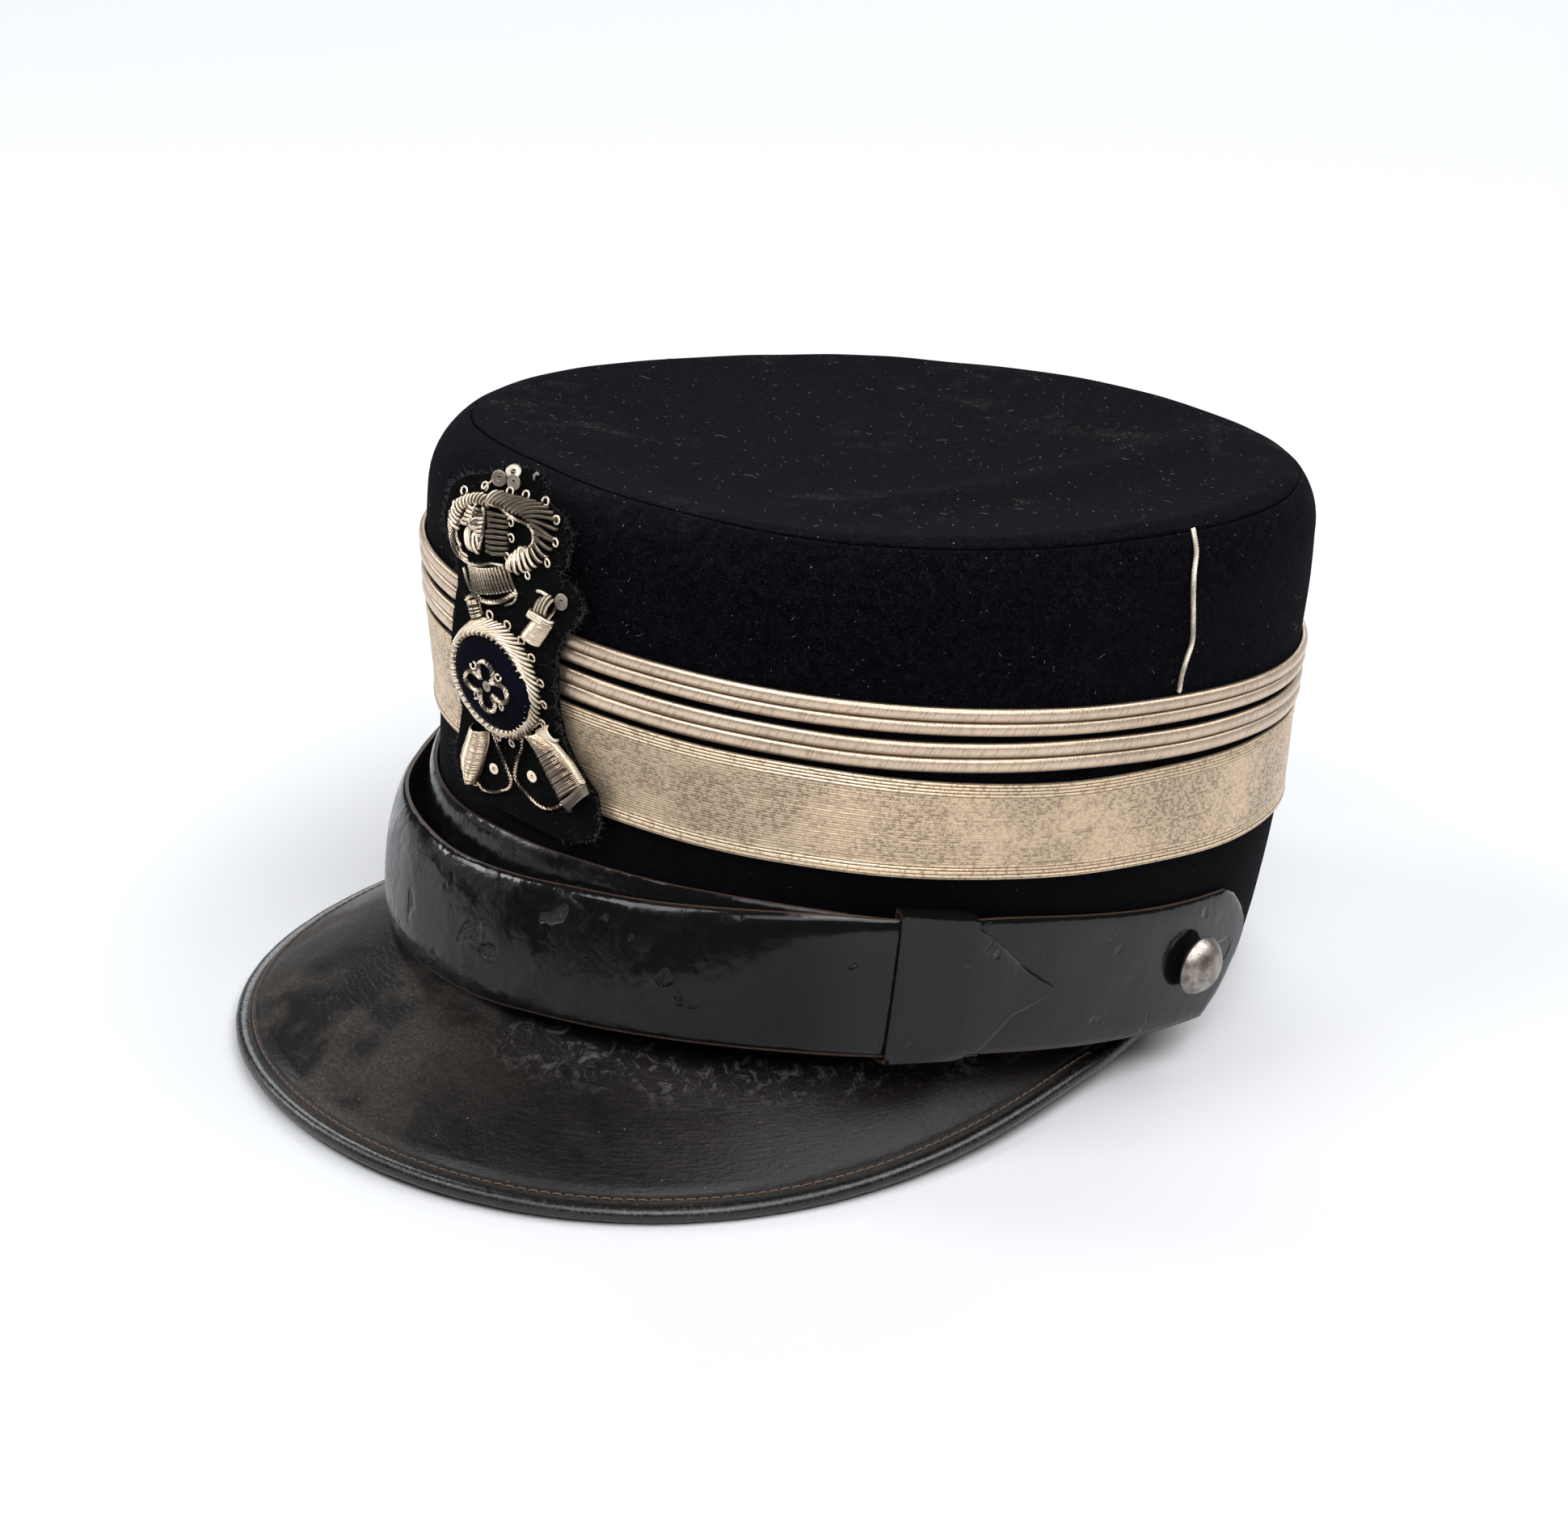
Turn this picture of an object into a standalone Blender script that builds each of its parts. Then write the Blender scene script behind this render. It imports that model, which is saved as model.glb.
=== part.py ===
"""Kepi cap: cloth crown with metal lace, embroidered badge, leather chin strap and peak.

Hat frame used by the functions below, in millimetres: z = 0 is the plane of the
rim, the front of the hat is -Y and the wearer's left is +X.  Angles phi run
round the crown in degrees, 0 at the front and positive towards the wearer's
left.  All pieces are parented to one empty that lays the hat down as it rests
by itself, on the edge of its peak and the back of its rim.
"""
import math

import bmesh
import bpy
import numpy as np
from mathutils import Matrix, Vector

MM = 0.001

# ---------------------------------------------------------------- dimensions
SEGMENTS = 48            # round the crown
SQUARENESS = 2.1955      # exponent of the oval sections
SIDE_WALL = 2.4          # wool side wall
TOP_WALL = 2.0           # wool top panel
SHOULDER_DROP = 14.0     # height of the rounded shoulder below the crest
SHOULDER_INSET = 10.0    # how far the crest lies inside the side wall
SEAM_ANGLE = 62.0        # where on the shoulder the top panel is sewn in
DISH = 6.0               # how far the top sinks in its middle

LACE_LOW, LACE_HIGH = 45.7, 68.7          # wide woven lace
BRAID_LOWER = (69.9, 76.7)                # bottom and top height
BRAID_UPPER = (78.1, 84.3)
LACE_OUT, LACE_THICK = 1.3, 0.9
BRAID_OUT, BRAID_VALLEY, BRAID_BACK = 1.6, 1.0, 0.45
CORD_RADIUS = 0.65

STRAP_THICK = 1.8
KEEPER_THICK = 1.3
KEEPER_SPAN = (57.6, 67.6)                # along its top edge
KEEPER_LEAN = 2.4                         # its bottom edge lies this much further back
BUTTON_PHI = 102.3
BUTTON_RADIUS = 6.75

PEAK_SPAN = 105.9        # half angle of the peak
PEAK_LENGTH = 53.0       # at the front, with its binding
PEAK_THICK = 2.4
PEAK_CAMBER = 1.0
BINDING_RADIUS = 2.2
PLATE_END = 0.9          # part of the span that the leather plate covers
BINDING_END = 0.945

LINING_HEIGHT = 13.0
LINING_THICK = 1.0
PATCH_THICK = 1.6

SECTIONS = (
    # height, half_length, half_width, centre_y
    (0.0, 102.95, 75.8, 0.0),
    (20.0, 100.0, 82.2, -0.85),
    (45.0, 97.75, 87.85, -3.15),
    (70.0, 99.4, 88.9, -7.4),
    (95.0, 99.75, 90.65, -10.5),
    (112.0, 95.7, 92.05, -10.7),
)

STRAP_OUTER = (
    # phi, top_height, low_height, top_out, low_out, bulge
    (-116.0, 31.0, 0.8, 2.4, 9.5, 0.0),
    (-98.0, 32.8, 1.6, 2.4, 9.6, 0.0),
    (-84.0, 33.6, 2.6, 4.7, 11.7, 0.0),
    (-73.0, 32.6, 2.4, 5.6, 11.6, 0.1),
    (-63.0, 30.6, 1.4, 6.9, 11.6, 0.4),
    (-52.0, 26.6, -1.0, 7.8, 10.4, 1.0),
    (-42.0, 24.2, -3.2, 8.4, 9.6, 1.6),
    (-30.0, 24.4, -4.0, 8.4, 9.1, 1.8),
    (-15.0, 24.7, -3.5, 8.5, 8.6, 1.8),
    (-5.0, 25.0, -3.0, 8.5, 8.1, 1.7),
    (5.0, 27.2, -1.3, 7.6, 8.4, 1.7),
    (14.0, 29.6, 1.0, 6.6, 9.0, 1.7),
    (25.0, 31.8, 3.3, 5.6, 10.2, 1.5),
    (36.0, 34.4, 4.9, 5.3, 10.8, 1.2),
    (46.0, 36.4, 5.7, 5.6, 11.0, 0.8),
    (57.0, 37.1, 5.9, 6.1, 11.4, 0.4),
    (68.0, 37.4, 5.3, 6.7, 11.6, 0.0),
    (82.0, 35.4, 3.9, 4.7, 11.7, 0.0),
)
STRAP_INNER = (
    # phi, top_height, low_height, top_out, low_out, bulge
    (-82.0, 33.4, 3.0, 2.4, 9.4, 0.0),
    (-72.0, 34.0, 3.0, 3.1, 9.3, 0.0),
    (-63.0, 34.0, 2.6, 4.5, 9.1, 0.0),
    (-53.0, 33.2, 1.6, 3.4, 7.8, 0.0),
    (-43.0, 31.8, 0.2, 2.4, 5.5, 0.0),
    (-30.0, 30.5, 0.0, 2.3, 3.5, 0.0),
    (-15.0, 30.3, -0.1, 2.3, 2.4, 0.0),
    (0.0, 32.0, 0.0, 2.3, 2.4, 0.0),
    (14.0, 34.1, 0.9, 2.3, 2.8, 0.0),
    (25.0, 35.2, 2.1, 2.3, 3.8, 0.0),
    (36.0, 36.1, 3.0, 2.3, 5.1, 0.0),
    (46.0, 36.3, 3.7, 2.5, 6.6, 0.0),
    (57.0, 36.2, 4.3, 3.9, 8.4, 0.0),
    (63.0, 36.5, 4.5, 4.5, 9.1, 0.0),
    (73.0, 36.4, 4.4, 3.1, 9.3, 0.0),
    (83.0, 35.0, 3.3, 2.4, 9.4, 0.0),
    (93.0, 33.3, 1.9, 2.3, 9.5, 0.0),
    (102.0, 32.6, 1.4, 2.3, 9.5, 0.0),
    (116.0, 31.6, 1.3, 2.3, 9.5, 0.0),
)
POINTED_END = (
    # phi, low_part, top_part of the strap's width
    (66.8, 0.0, 1.0),
    (72.3, 0.0, 0.81),
    (75.8, 0.28, 0.66),
    (80.8, 0.44, 0.50),
)
BUTTON_END = (
    # phi, low_part, top_part of the strap's width
    (106.8, 0.0, 1.0),
    (109.6, 0.13, 1.0),
    (112.0, 0.30, 0.95),
    (114.4, 0.46, 0.83),
    (115.4, 0.58, 0.72),
)

SIDE_CORD = (
    # phi, height
    (93.9, 119.0),
    (92.9, 115.5),
    (92.2, 111.6),
    (92.4, 106.4),
    (93.1, 102.3),
    (93.8, 96.6),
    (93.4, 92.0),
    (93.1, 88.4),
    (93.4, 85.1),
)

PATCH_FRONT = (
    # height, y of the patch's front face at its middle
    (36.0, -103.6),
    (46.0, -105.0),
    (58.0, -108.0),
    (70.0, -111.2),
    (84.0, -113.5),
    (95.0, -114.4),
    (104.0, -114.0),
    (110.0, -112.7),
    (115.0, -111.0),
)
PATCH_OUTLINE = (
    # height, left_edge, right_edge
    (115.0, 3.0, 7.5),
    (112.2, -5.0, 9.0),
    (110.2, -9.0, 9.8),
    (108.4, -15.5, 16.5),
    (105.5, -20.0, 20.5),
    (99.2, -21.0, 20.5),
    (96.6, -20.0, 18.8),
    (94.8, -18.0, 25.5),
    (91.8, -13.5, 27.0),
    (88.0, -12.5, 25.0),
    (84.0, -13.0, 21.0),
    (79.0, -14.5, 19.2),
    (73.0, -15.8, 19.0),
    (67.0, -16.2, 19.0),
    (61.0, -15.2, 20.0),
    (56.5, -14.2, 22.5),
    (51.0, -17.0, 28.2),
    (45.0, -19.5, 29.2),
    (41.0, -18.0, 27.5),
    (38.4, -13.0, 22.0),
    (36.8, -8.0, 14.0),
)
CROWN_OUTLINE = (
    # across, height
    (-7.4, 83.9), (-0.5, 84.6), (6.2, 88.2), (5.6, 91.2), (10.5, 94.0),
    (15.8, 98.2), (17.2, 102.6), (14.6, 106.2), (9.2, 107.9), (3.0, 108.0),
    (2.2, 111.4), (-2.6, 111.0), (-5.0, 107.4), (-12.0, 106.6), (-16.8, 103.4),
    (-18.0, 99.0), (-16.4, 94.4), (-12.6, 91.0), (-10.0, 89.8),
)
CROWN_HOLE_LEFT = (
    # across, height
    (-13.6, 97.0), (-10.4, 94.8), (-9.0, 98.6), (-9.6, 102.6), (-13.2, 101.6),
)
CROWN_HOLE_RIGHT = (
    # across, height
    (3.6, 97.6), (9.8, 99.4), (11.2, 102.0), (8.6, 104.2), (3.4, 103.4),
)
BUTT_LEFT = (
    # across, height
    (-10.2, 53.2), (-5.6, 52.4), (-7.0, 46.0), (-10.6, 39.6), (-16.2, 44.6),
    (-13.2, 49.6),
)
BUTT_RIGHT = (
    # across, height
    (9.8, 54.0), (13.6, 57.4), (27.6, 50.2), (27.0, 46.0), (21.6, 43.8),
    (14.6, 49.2),
)
BARREL_LEFT = (
    # across, height
    (-11.8, 81.4), (-8.8, 81.8), (-7.8, 80.4), (-10.2, 79.2),
)
BARREL_RIGHT = (
    # across, height
    (10.4, 80.6), (13.6, 78.0), (19.4, 86.4), (21.4, 90.6), (15.6, 91.0),
    (14.4, 86.6),
)
RING_CENTRE = (1.4, 68.0)
RING_WIDE, RING_TALL, RING_TUBE = 12.2, 11.7, 1.8
DISC_RADIUS = 9.6

MATERIALS = {
    # name: (colour, roughness, metallic)
    "wool": ((0.012, 0.013, 0.022), 0.9, 0.0),
    "metal_lace": ((0.55, 0.43, 0.31), 0.42, 0.8),
    "silver_thread": ((0.62, 0.56, 0.46), 0.4, 0.85),
    "felt": ((0.010, 0.010, 0.012), 0.95, 0.0),
    "velvet": ((0.006, 0.008, 0.024), 0.85, 0.0),
    "patent_leather": ((0.008, 0.008, 0.009), 0.12, 0.0),
    "peak_leather": ((0.014, 0.012, 0.011), 0.35, 0.0),
    "pewter": ((0.22, 0.20, 0.18), 0.42, 0.9),
    "red_cloth": ((0.45, 0.02, 0.02), 0.85, 0.0),
}


# ------------------------------------------------------------------- helpers
def smooth(table, column, x):
    """Smooth curve through one column of a table, flat beyond its ends."""
    xs = [row[0] for row in table]
    ys = [row[column] for row in table]
    if x <= xs[0]:
        return ys[0]
    if x >= xs[-1]:
        return ys[-1]
    i = max(k for k in range(len(xs) - 1) if xs[k] <= x)

    def slope(k):
        if k == 0:
            return (ys[1] - ys[0]) / (xs[1] - xs[0])
        if k == len(xs) - 1:
            return (ys[-1] - ys[-2]) / (xs[-1] - xs[-2])
        return (ys[k + 1] - ys[k - 1]) / (xs[k + 1] - xs[k - 1])

    step = xs[i + 1] - xs[i]
    t = (x - xs[i]) / step
    return ((2 * t**3 - 3 * t**2 + 1) * ys[i] + (t**3 - 2 * t**2 + t) * step * slope(i)
            + (3 * t**2 - 2 * t**3) * ys[i + 1] + (t**3 - t**2) * step * slope(i + 1))


def straight(table, column, x):
    """Straight lines through one column of a table."""
    return float(np.interp(x, [row[0] for row in table], [row[column] for row in table]))


def power(value, exponent):
    return math.copysign(abs(value) ** exponent, value)


def oval(half_length, half_width, centre_y, phi, height, out=0.0):
    """A point of an oval section, out mm outside it."""
    c, s = math.cos(math.radians(phi)), math.sin(math.radians(phi))
    x = half_width * power(s, 2 / SQUARENESS)
    y = centre_y - half_length * power(c, 2 / SQUARENESS)
    normal = Vector((power(x / half_width, SQUARENESS - 1) / half_width,
                     power((y - centre_y) / half_length, SQUARENESS - 1) / half_length,
                     0.0)).normalized()
    return Vector((x, y, height)) + normal * out


def section(height):
    return [smooth(SECTIONS, column, height) for column in (1, 2, 3)]


def crown(phi, height, out=0.0):
    """A point of the crown's side, out mm outside the cloth."""
    return oval(*section(height), phi, height, out)


def outward(phi, height):
    return (crown(phi, height, 1.0) - crown(phi, height)).normalized()


def crest_height(phi):
    """Height of the rolled edge, which leans and waves with the soft cloth."""
    f = math.radians(phi)
    return (115.5 - 4.2 * math.cos(f) + 5.2 * math.sin(f)
            + 0.2 * math.cos(2 * f) - 0.6 * math.sin(2 * f))


def shoulder(phi, angle):
    """The rounded shoulder, from the side wall (angle 0) to the crest (90)."""
    start = crest_height(phi) - SHOULDER_DROP
    low = section(start)
    top = section(112.0)
    top[0] -= SHOULDER_INSET
    top[1] -= SHOULDER_INSET
    k = math.cos(math.radians(angle))
    mixed = [b + (a - b) * k for a, b in zip(low, top)]
    return oval(*mixed, phi, start + SHOULDER_DROP * math.sin(math.radians(angle)))


def top_height(x, y, part, phi):
    """Height of the dished top; part is 1 at the crest and 0 in the middle."""
    f = math.radians(phi)
    z = (115.5 + part * (-4.2 * math.cos(f) + 5.2 * math.sin(f))
         + part**2 * (0.2 * math.cos(2 * f) - 0.6 * math.sin(2 * f)))
    z -= DISH * (1 - part**2.5)
    fade = (1 - part**4)
    ridge_x = 36.0 - 0.0011 * (y + 15.0) ** 2
    along = 1 / (1 + math.exp(-(y + 50.0) / 9.0))
    z += 3.2 * along * fade * math.exp(-((x - ridge_x) / 8.0) ** 2)
    z -= 2.6 * fade * math.exp(-((x + 24.0) / 20.0) ** 2 - ((y + 80.0) / 10.0) ** 2)
    return z


def plate(across, height, above=0.0):
    """A point of the stiff badge, above mm in front of the patch's face."""
    def face(u, h):
        y = smooth(PATCH_FRONT, 1, h) + 0.079 * u + 0.0006 * u * u
        return Vector((u, y, h))
    du = face(across + 0.5, height) - face(across - 0.5, height)
    dh = face(across, height + 0.5) - face(across, height - 0.5)
    return face(across, height) + du.cross(dh).normalized() * above


def strap_point(table, phi, part, out=0.0):
    """A point of a strap's outer face; part runs from its low to its top edge."""
    low = crown(phi, 0.0, 0.0)
    low_height = smooth(table, 2, phi)
    top_height_ = smooth(table, 1, phi)
    base = max(low_height, 0.0)
    low = crown(phi, base, smooth(table, 4, phi) + out)
    low.z = low_height
    top = crown(phi, top_height_, smooth(table, 3, phi) + out)
    bulge = smooth(table, 5, phi) * 4 * part * (1 - part)
    return low.lerp(top, part) + outward(phi, 15.0) * bulge


def peak_point(f, out, below=0.0):
    """A point of the peak's upper face, out mm from the rim along its slope."""
    phi = PEAK_SPAN * f
    slope = math.radians(31.55 + 21.34 * f * f - 19.6 * f**4)
    root = crown(phi, 0.0)
    normal = outward(phi, 0.0)
    length = peak_length(f)
    along = min(max(out / max(length, 1.0), 0.0), 1.0)
    lift = PEAK_CAMBER * 4 * along * (1 - along) * length / PEAK_LENGTH - 0.35 * (1 - along)
    upward = Vector((0, 0, 1)) * math.cos(slope) + normal * math.sin(slope)
    point = root + normal * (out * math.cos(slope) if out > 0 else out)
    point.z = -max(out, 0.0) * math.sin(slope) + lift
    return point - upward * below


def peak_length(f):
    return PEAK_LENGTH * (1 - abs(f) ** 1.805) * (1 - 0.331 * f * f)


# ------------------------------------------------------------ making objects
for old in list(bpy.data.objects):
    bpy.data.objects.remove(old)
collection = bpy.data.collections.new("kepi_cap")
bpy.context.scene.collection.children.link(collection)

rest = bpy.data.objects.new("kepi_rest", None)
collection.objects.link(rest)

for name, (colour, roughness, metallic) in MATERIALS.items():
    material = bpy.data.materials.new(name)
    material.use_nodes = True
    bsdf = material.node_tree.nodes["Principled BSDF"]
    bsdf.inputs["Base Color"].default_value = (*colour, 1.0)
    bsdf.inputs["Roughness"].default_value = roughness
    bsdf.inputs["Metallic"].default_value = metallic


def finish(obj, material):
    """Link an object to the hat, give it its material and shade it smooth."""
    obj.data.materials.clear()
    obj.data.materials.append(bpy.data.materials[material])
    for other in list(obj.users_collection):
        other.objects.unlink(obj)
    collection.objects.link(obj)
    obj.parent = rest
    if obj.type == 'MESH':
        obj.data.shade_smooth()
        obj.data.set_sharp_from_angle(angle=math.radians(40))
    return obj


def loft(name, rows, material, around=False, closed=False, thickness=None, cap=None):
    """A skin over rows of points.

    around joins each row's last point to its first, and closed joins the last
    row to the first.  thickness makes it a shell, grown inwards.
    """
    count = len(rows[0])
    points = [p * MM for row in rows for p in row]
    if cap is not None:
        points.append(cap * MM)
    faces = []
    for r in range(len(rows) if closed else len(rows) - 1):
        for k in range(count if around else count - 1):
            a, b = r * count + k, r * count + (k + 1) % count
            next_row = (r + 1) % len(rows) * count
            faces.append((a, b, next_row + (k + 1) % count, next_row + k))
    if cap is not None:
        last = (len(rows) - 1) * count
        faces += [(last + k, last + (k + 1) % count, len(points) - 1) for k in range(count)]
    mesh = bpy.data.meshes.new(name)
    mesh.from_pydata([tuple(p) for p in points], [], faces)
    obj = bpy.data.objects.new(name, mesh)
    bpy.context.scene.collection.objects.link(obj)
    if thickness:
        shell = obj.modifiers.new("wall", 'SOLIDIFY')
        shell.thickness = thickness * MM
        shell.offset = -1.0
        shell.use_even_offset = True
    return finish(obj, material)


def turn(k):
    """Angle of the k-th of the equal segments round the crown."""
    return -180.0 + 360.0 * k / SEGMENTS


# --------------------------------------------------------------- cloth crown
rows = [[crown(turn(k), 0.0) + Vector((0, 0, h)) for k in range(SEGMENTS)] for h in (0.0, 1.5)]
for h in (20.0, 33.0, 45.5, 57.0, 69.3, 77.4, 84.6):
    rows.append([crown(turn(k), h) for k in range(SEGMENTS)])
row = []
for k in range(SEGMENTS):
    start = crest_height(turn(k)) - SHOULDER_DROP
    row.append(crown(turn(k), 84.6 + 0.5 * (start - 84.6)))
rows.append(row)
for angle in (0.0, 24.0, 46.0, SEAM_ANGLE - 4.0, SEAM_ANGLE - 1.0):
    rows.append([shoulder(turn(k), angle) for k in range(SEGMENTS)])
loft("crown_side", rows, "wool", around=True, thickness=SIDE_WALL)

rows = []
for angle in (SEAM_ANGLE + 2.4, SEAM_ANGLE + 6.0, 78.0, 90.0):
    rows.append([shoulder(turn(k), angle) for k in range(SEGMENTS)])
crest = rows[-1]
centre = sum((Vector(p) for p in crest), Vector()) / SEGMENTS
for part in (0.92, 0.8, 0.65, 0.46, 0.24):
    row = []
    for k, p in enumerate(crest):
        x = centre.x + (p.x - centre.x) * part
        y = centre.y + (p.y - centre.y) * part
        row.append(Vector((x, y, top_height(x, y, part, turn(k)))))
    rows.append(row)
middle = Vector((centre.x, centre.y, top_height(centre.x, centre.y, 0.0, 0.0)))
loft("crown_top", rows, "wool", around=True, thickness=TOP_WALL, cap=middle)

# ---------------------------------------------------------------- metal lace
rows = [[crown(turn(k), h, LACE_OUT) for k in range(SEGMENTS)]
        for h in (LACE_LOW, 57.0, LACE_HIGH)]
loft("lace_wide", rows, "metal_lace", around=True, thickness=LACE_THICK)

for name, (low, high) in (("braid_lower", BRAID_LOWER), ("braid_upper", BRAID_UPPER)):
    profile = ((0.0, BRAID_BACK), (0.1, BRAID_OUT), (0.4, BRAID_OUT), (0.5, BRAID_VALLEY),
               (0.6, BRAID_OUT), (0.9, BRAID_OUT), (1.0, BRAID_BACK))
    rows = [[crown(turn(k), low + part * (high - low), out) for k in range(SEGMENTS)]
            for part, out in profile]
    loft(name, rows, "metal_lace", around=True, closed=True)

for name, side in (("side_cord_left", 1), ("side_cord_right", -1)):
    curve = bpy.data.curves.new(name, 'CURVE')
    curve.dimensions = '3D'
    curve.bevel_depth = CORD_RADIUS * MM
    curve.bevel_resolution = 2
    curve.use_fill_caps = True
    spline = curve.splines.new('POLY')
    route = []
    for phi, height in SIDE_CORD:
        start = crest_height(side * phi) - SHOULDER_DROP
        out = CORD_RADIUS + 0.4
        top = crest_height(side * phi) + (height - 120.5)
        if side < 0 and height > 100.0:
            height = start + (height - 102.5) * (top - start) / (height - 102.5 + 1e-6)
        if height <= start:
            route.append(crown(side * phi, height, out))
        else:
            angle = math.degrees(math.asin(min((height - start) / SHOULDER_DROP, 1.0)))
            angle = min(angle, SEAM_ANGLE - 4.0)
            p = shoulder(side * phi, angle)
            q = shoulder(side * phi, angle + 4.0) - shoulder(side * phi, angle - 4.0)
            r = shoulder(side * phi + 2, angle) - shoulder(side * phi - 2, angle)
            n = r.cross(q).normalized()
            route.append(p + n * out)
    kept = [route[0]]
    for p in route[1:]:
        if kept[-1].z - p.z > 1.0:
            kept.append(p)
    spline.points.add(len(kept) - 1)
    for point, p in zip(spline.points, kept):
        point.co = (*(p * MM), 1.0)
    finish(bpy.data.objects.new(name, curve), "silver_thread")

# -------------------------------------------------------------------- badge
rows = []
for height, left, right in PATCH_OUTLINE:
    rows.append([plate(left + (right - left) * t, height) for t in (1.0, 0.67, 0.33, 0.0)])
loft("badge_patch", rows, "felt", thickness=PATCH_THICK)


def badge_piece(name, outline, thick, material, holes=(), above=0.4):
    """A flat outline of even thickness, laid on the badge's patch."""
    curve = bpy.data.curves.new(name + "_outline", 'CURVE')
    curve.dimensions = '2D'
    curve.fill_mode = 'BOTH'
    curve.extrude = 0.5 * MM
    for loop in (outline, *holes):
        spline = curve.splines.new('POLY')
        spline.points.add(len(loop) - 1)
        for point, (x, y) in zip(spline.points, loop):
            point.co = (x * MM, y * MM, 0.0, 1.0)
        spline.use_cyclic_u = True
    flat = bpy.data.objects.new(name + "_outline", curve)
    collection.objects.link(flat)
    depsgraph = bpy.context.evaluated_depsgraph_get()
    mesh = bpy.data.meshes.new_from_object(flat.evaluated_get(depsgraph))
    bpy.data.objects.remove(flat)
    bm = bmesh.new()
    bm.from_mesh(mesh)
    bmesh.ops.remove_doubles(bm, verts=bm.verts, dist=0.00001)
    for vertex in bm.verts:
        x, y, z = vertex.co / MM
        vertex.co = plate(x, y, above + thick * (z + 0.5)) * MM
    bmesh.ops.recalc_face_normals(bm, faces=bm.faces)
    if bm.calc_volume(signed=True) < 0:
        bmesh.ops.reverse_faces(bm, faces=bm.faces)
    bm.to_mesh(mesh)
    bm.free()
    mesh.name = name
    return finish(bpy.data.objects.new(name, mesh), material)


badge_piece("badge_crown", CROWN_OUTLINE, 2.2, "silver_thread",
            holes=(CROWN_HOLE_LEFT, CROWN_HOLE_RIGHT))
badge_piece("badge_butt_left", BUTT_LEFT, 2.4, "silver_thread")
badge_piece("badge_butt_right", BUTT_RIGHT, 2.4, "silver_thread")
badge_piece("badge_barrel_left", BARREL_LEFT, 1.6, "silver_thread")
badge_piece("badge_barrel_right", BARREL_RIGHT, 1.8, "silver_thread")

bpy.ops.mesh.primitive_torus_add(major_segments=36, minor_segments=8, major_radius=1.0,
                                 minor_radius=RING_TUBE / RING_WIDE)
ring = bpy.context.object
ring.name = ring.data.name = "badge_ring"
for vertex in ring.data.vertices:
    x, y, z = vertex.co
    vertex.co = plate(RING_CENTRE[0] + RING_WIDE * x, RING_CENTRE[1] + RING_TALL * y,
                      0.45 + RING_TUBE + RING_WIDE * z) * MM
finish(ring, "silver_thread")

bpy.ops.mesh.primitive_cylinder_add(vertices=28, radius=1.0, depth=1.0)
disc = bpy.context.object
disc.name = disc.data.name = "badge_disc"
for vertex in disc.data.vertices:
    x, y, z = vertex.co
    vertex.co = plate(RING_CENTRE[0] + DISC_RADIUS * x, RING_CENTRE[1] + 0.955 * DISC_RADIUS * y,
                      0.4 + 1.2 * (z + 0.5)) * MM
finish(disc, "velvet")

rosette = []
for k in range(32):
    f = 2 * math.pi * k / 32
    r = 3.9 + 1.7 * math.cos(4 * f)
    rosette.append((RING_CENTRE[0] + r * math.cos(f), RING_CENTRE[1] + r * math.sin(f)))
badge_piece("badge_motif", rosette, 0.8, "silver_thread", above=2.0)


# --------------------------------------------------------------- chin strap
def strap(name, table, left_end, right_end):
    """One strap from its right end (negative phi) round the front to its left end."""
    first, last = -right_end[-1][0], left_end[-1][0]
    stations = set(np.linspace(-right_end[0][0], left_end[0][0], 37).round(2))
    stations |= {-row[0] for row in right_end} | {row[0] for row in left_end}
    rows_ = []
    for phi in sorted(stations):
        end = left_end if phi > 0 else right_end
        low, top = straight(end, 1, abs(phi)), straight(end, 2, abs(phi))
        rows_.append([strap_point(table, phi, low + (top - low) * t)
                      for t in (0.0, 0.25, 0.5, 0.75, 1.0)])
    rows_ = [row[::-1] for row in rows_]
    return loft(name, rows_, "patent_leather", thickness=STRAP_THICK)


strap("strap_outer", STRAP_OUTER, POINTED_END, BUTTON_END)
strap("strap_inner", STRAP_INNER, BUTTON_END, POINTED_END)

for name, side in (("keeper_left", 1), ("keeper_right", -1)):
    gap = 0.35
    rows = []
    for k in range(5):
        base = KEEPER_SPAN[0] + (KEEPER_SPAN[1] - KEEPER_SPAN[0]) * k / 4
        loop = []
        for t in (0.0, 0.25, 0.5, 0.75, 1.0):
            phi = side * (base + KEEPER_LEAN * (1 - t))
            p = strap_point(STRAP_OUTER, phi, t, gap)
            loop.append(p + Vector((0, 0, gap * (2 * t - 1))))
        for t in (1.0, 0.75, 0.5, 0.25, 0.0):
            phi = side * (base + KEEPER_LEAN * (1 - t))
            p = strap_point(STRAP_INNER, phi, t, -STRAP_THICK - gap)
            outer = strap_point(STRAP_OUTER, phi, t)
            inner = strap_point(STRAP_INNER, phi, t)
            reach = max(outer.z, inner.z) if t > 0.5 else min(outer.z, inner.z)
            if t in (0.0, 1.0):
                p.z = reach + gap * (2 * t - 1)
            loop.append(p)
        top_z = max(loop[4].z, loop[5].z)
        low_z = min(loop[0].z, loop[-1].z)
        loop[4].z = loop[5].z = top_z
        loop[0].z = loop[-1].z = low_z
        rows.append(loop)
    if side > 0:
        rows = rows[::-1]
    keeper = loft(name, rows, "patent_leather", around=True, thickness=KEEPER_THICK)
    keeper.modifiers["wall"].offset = 1.0

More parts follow.
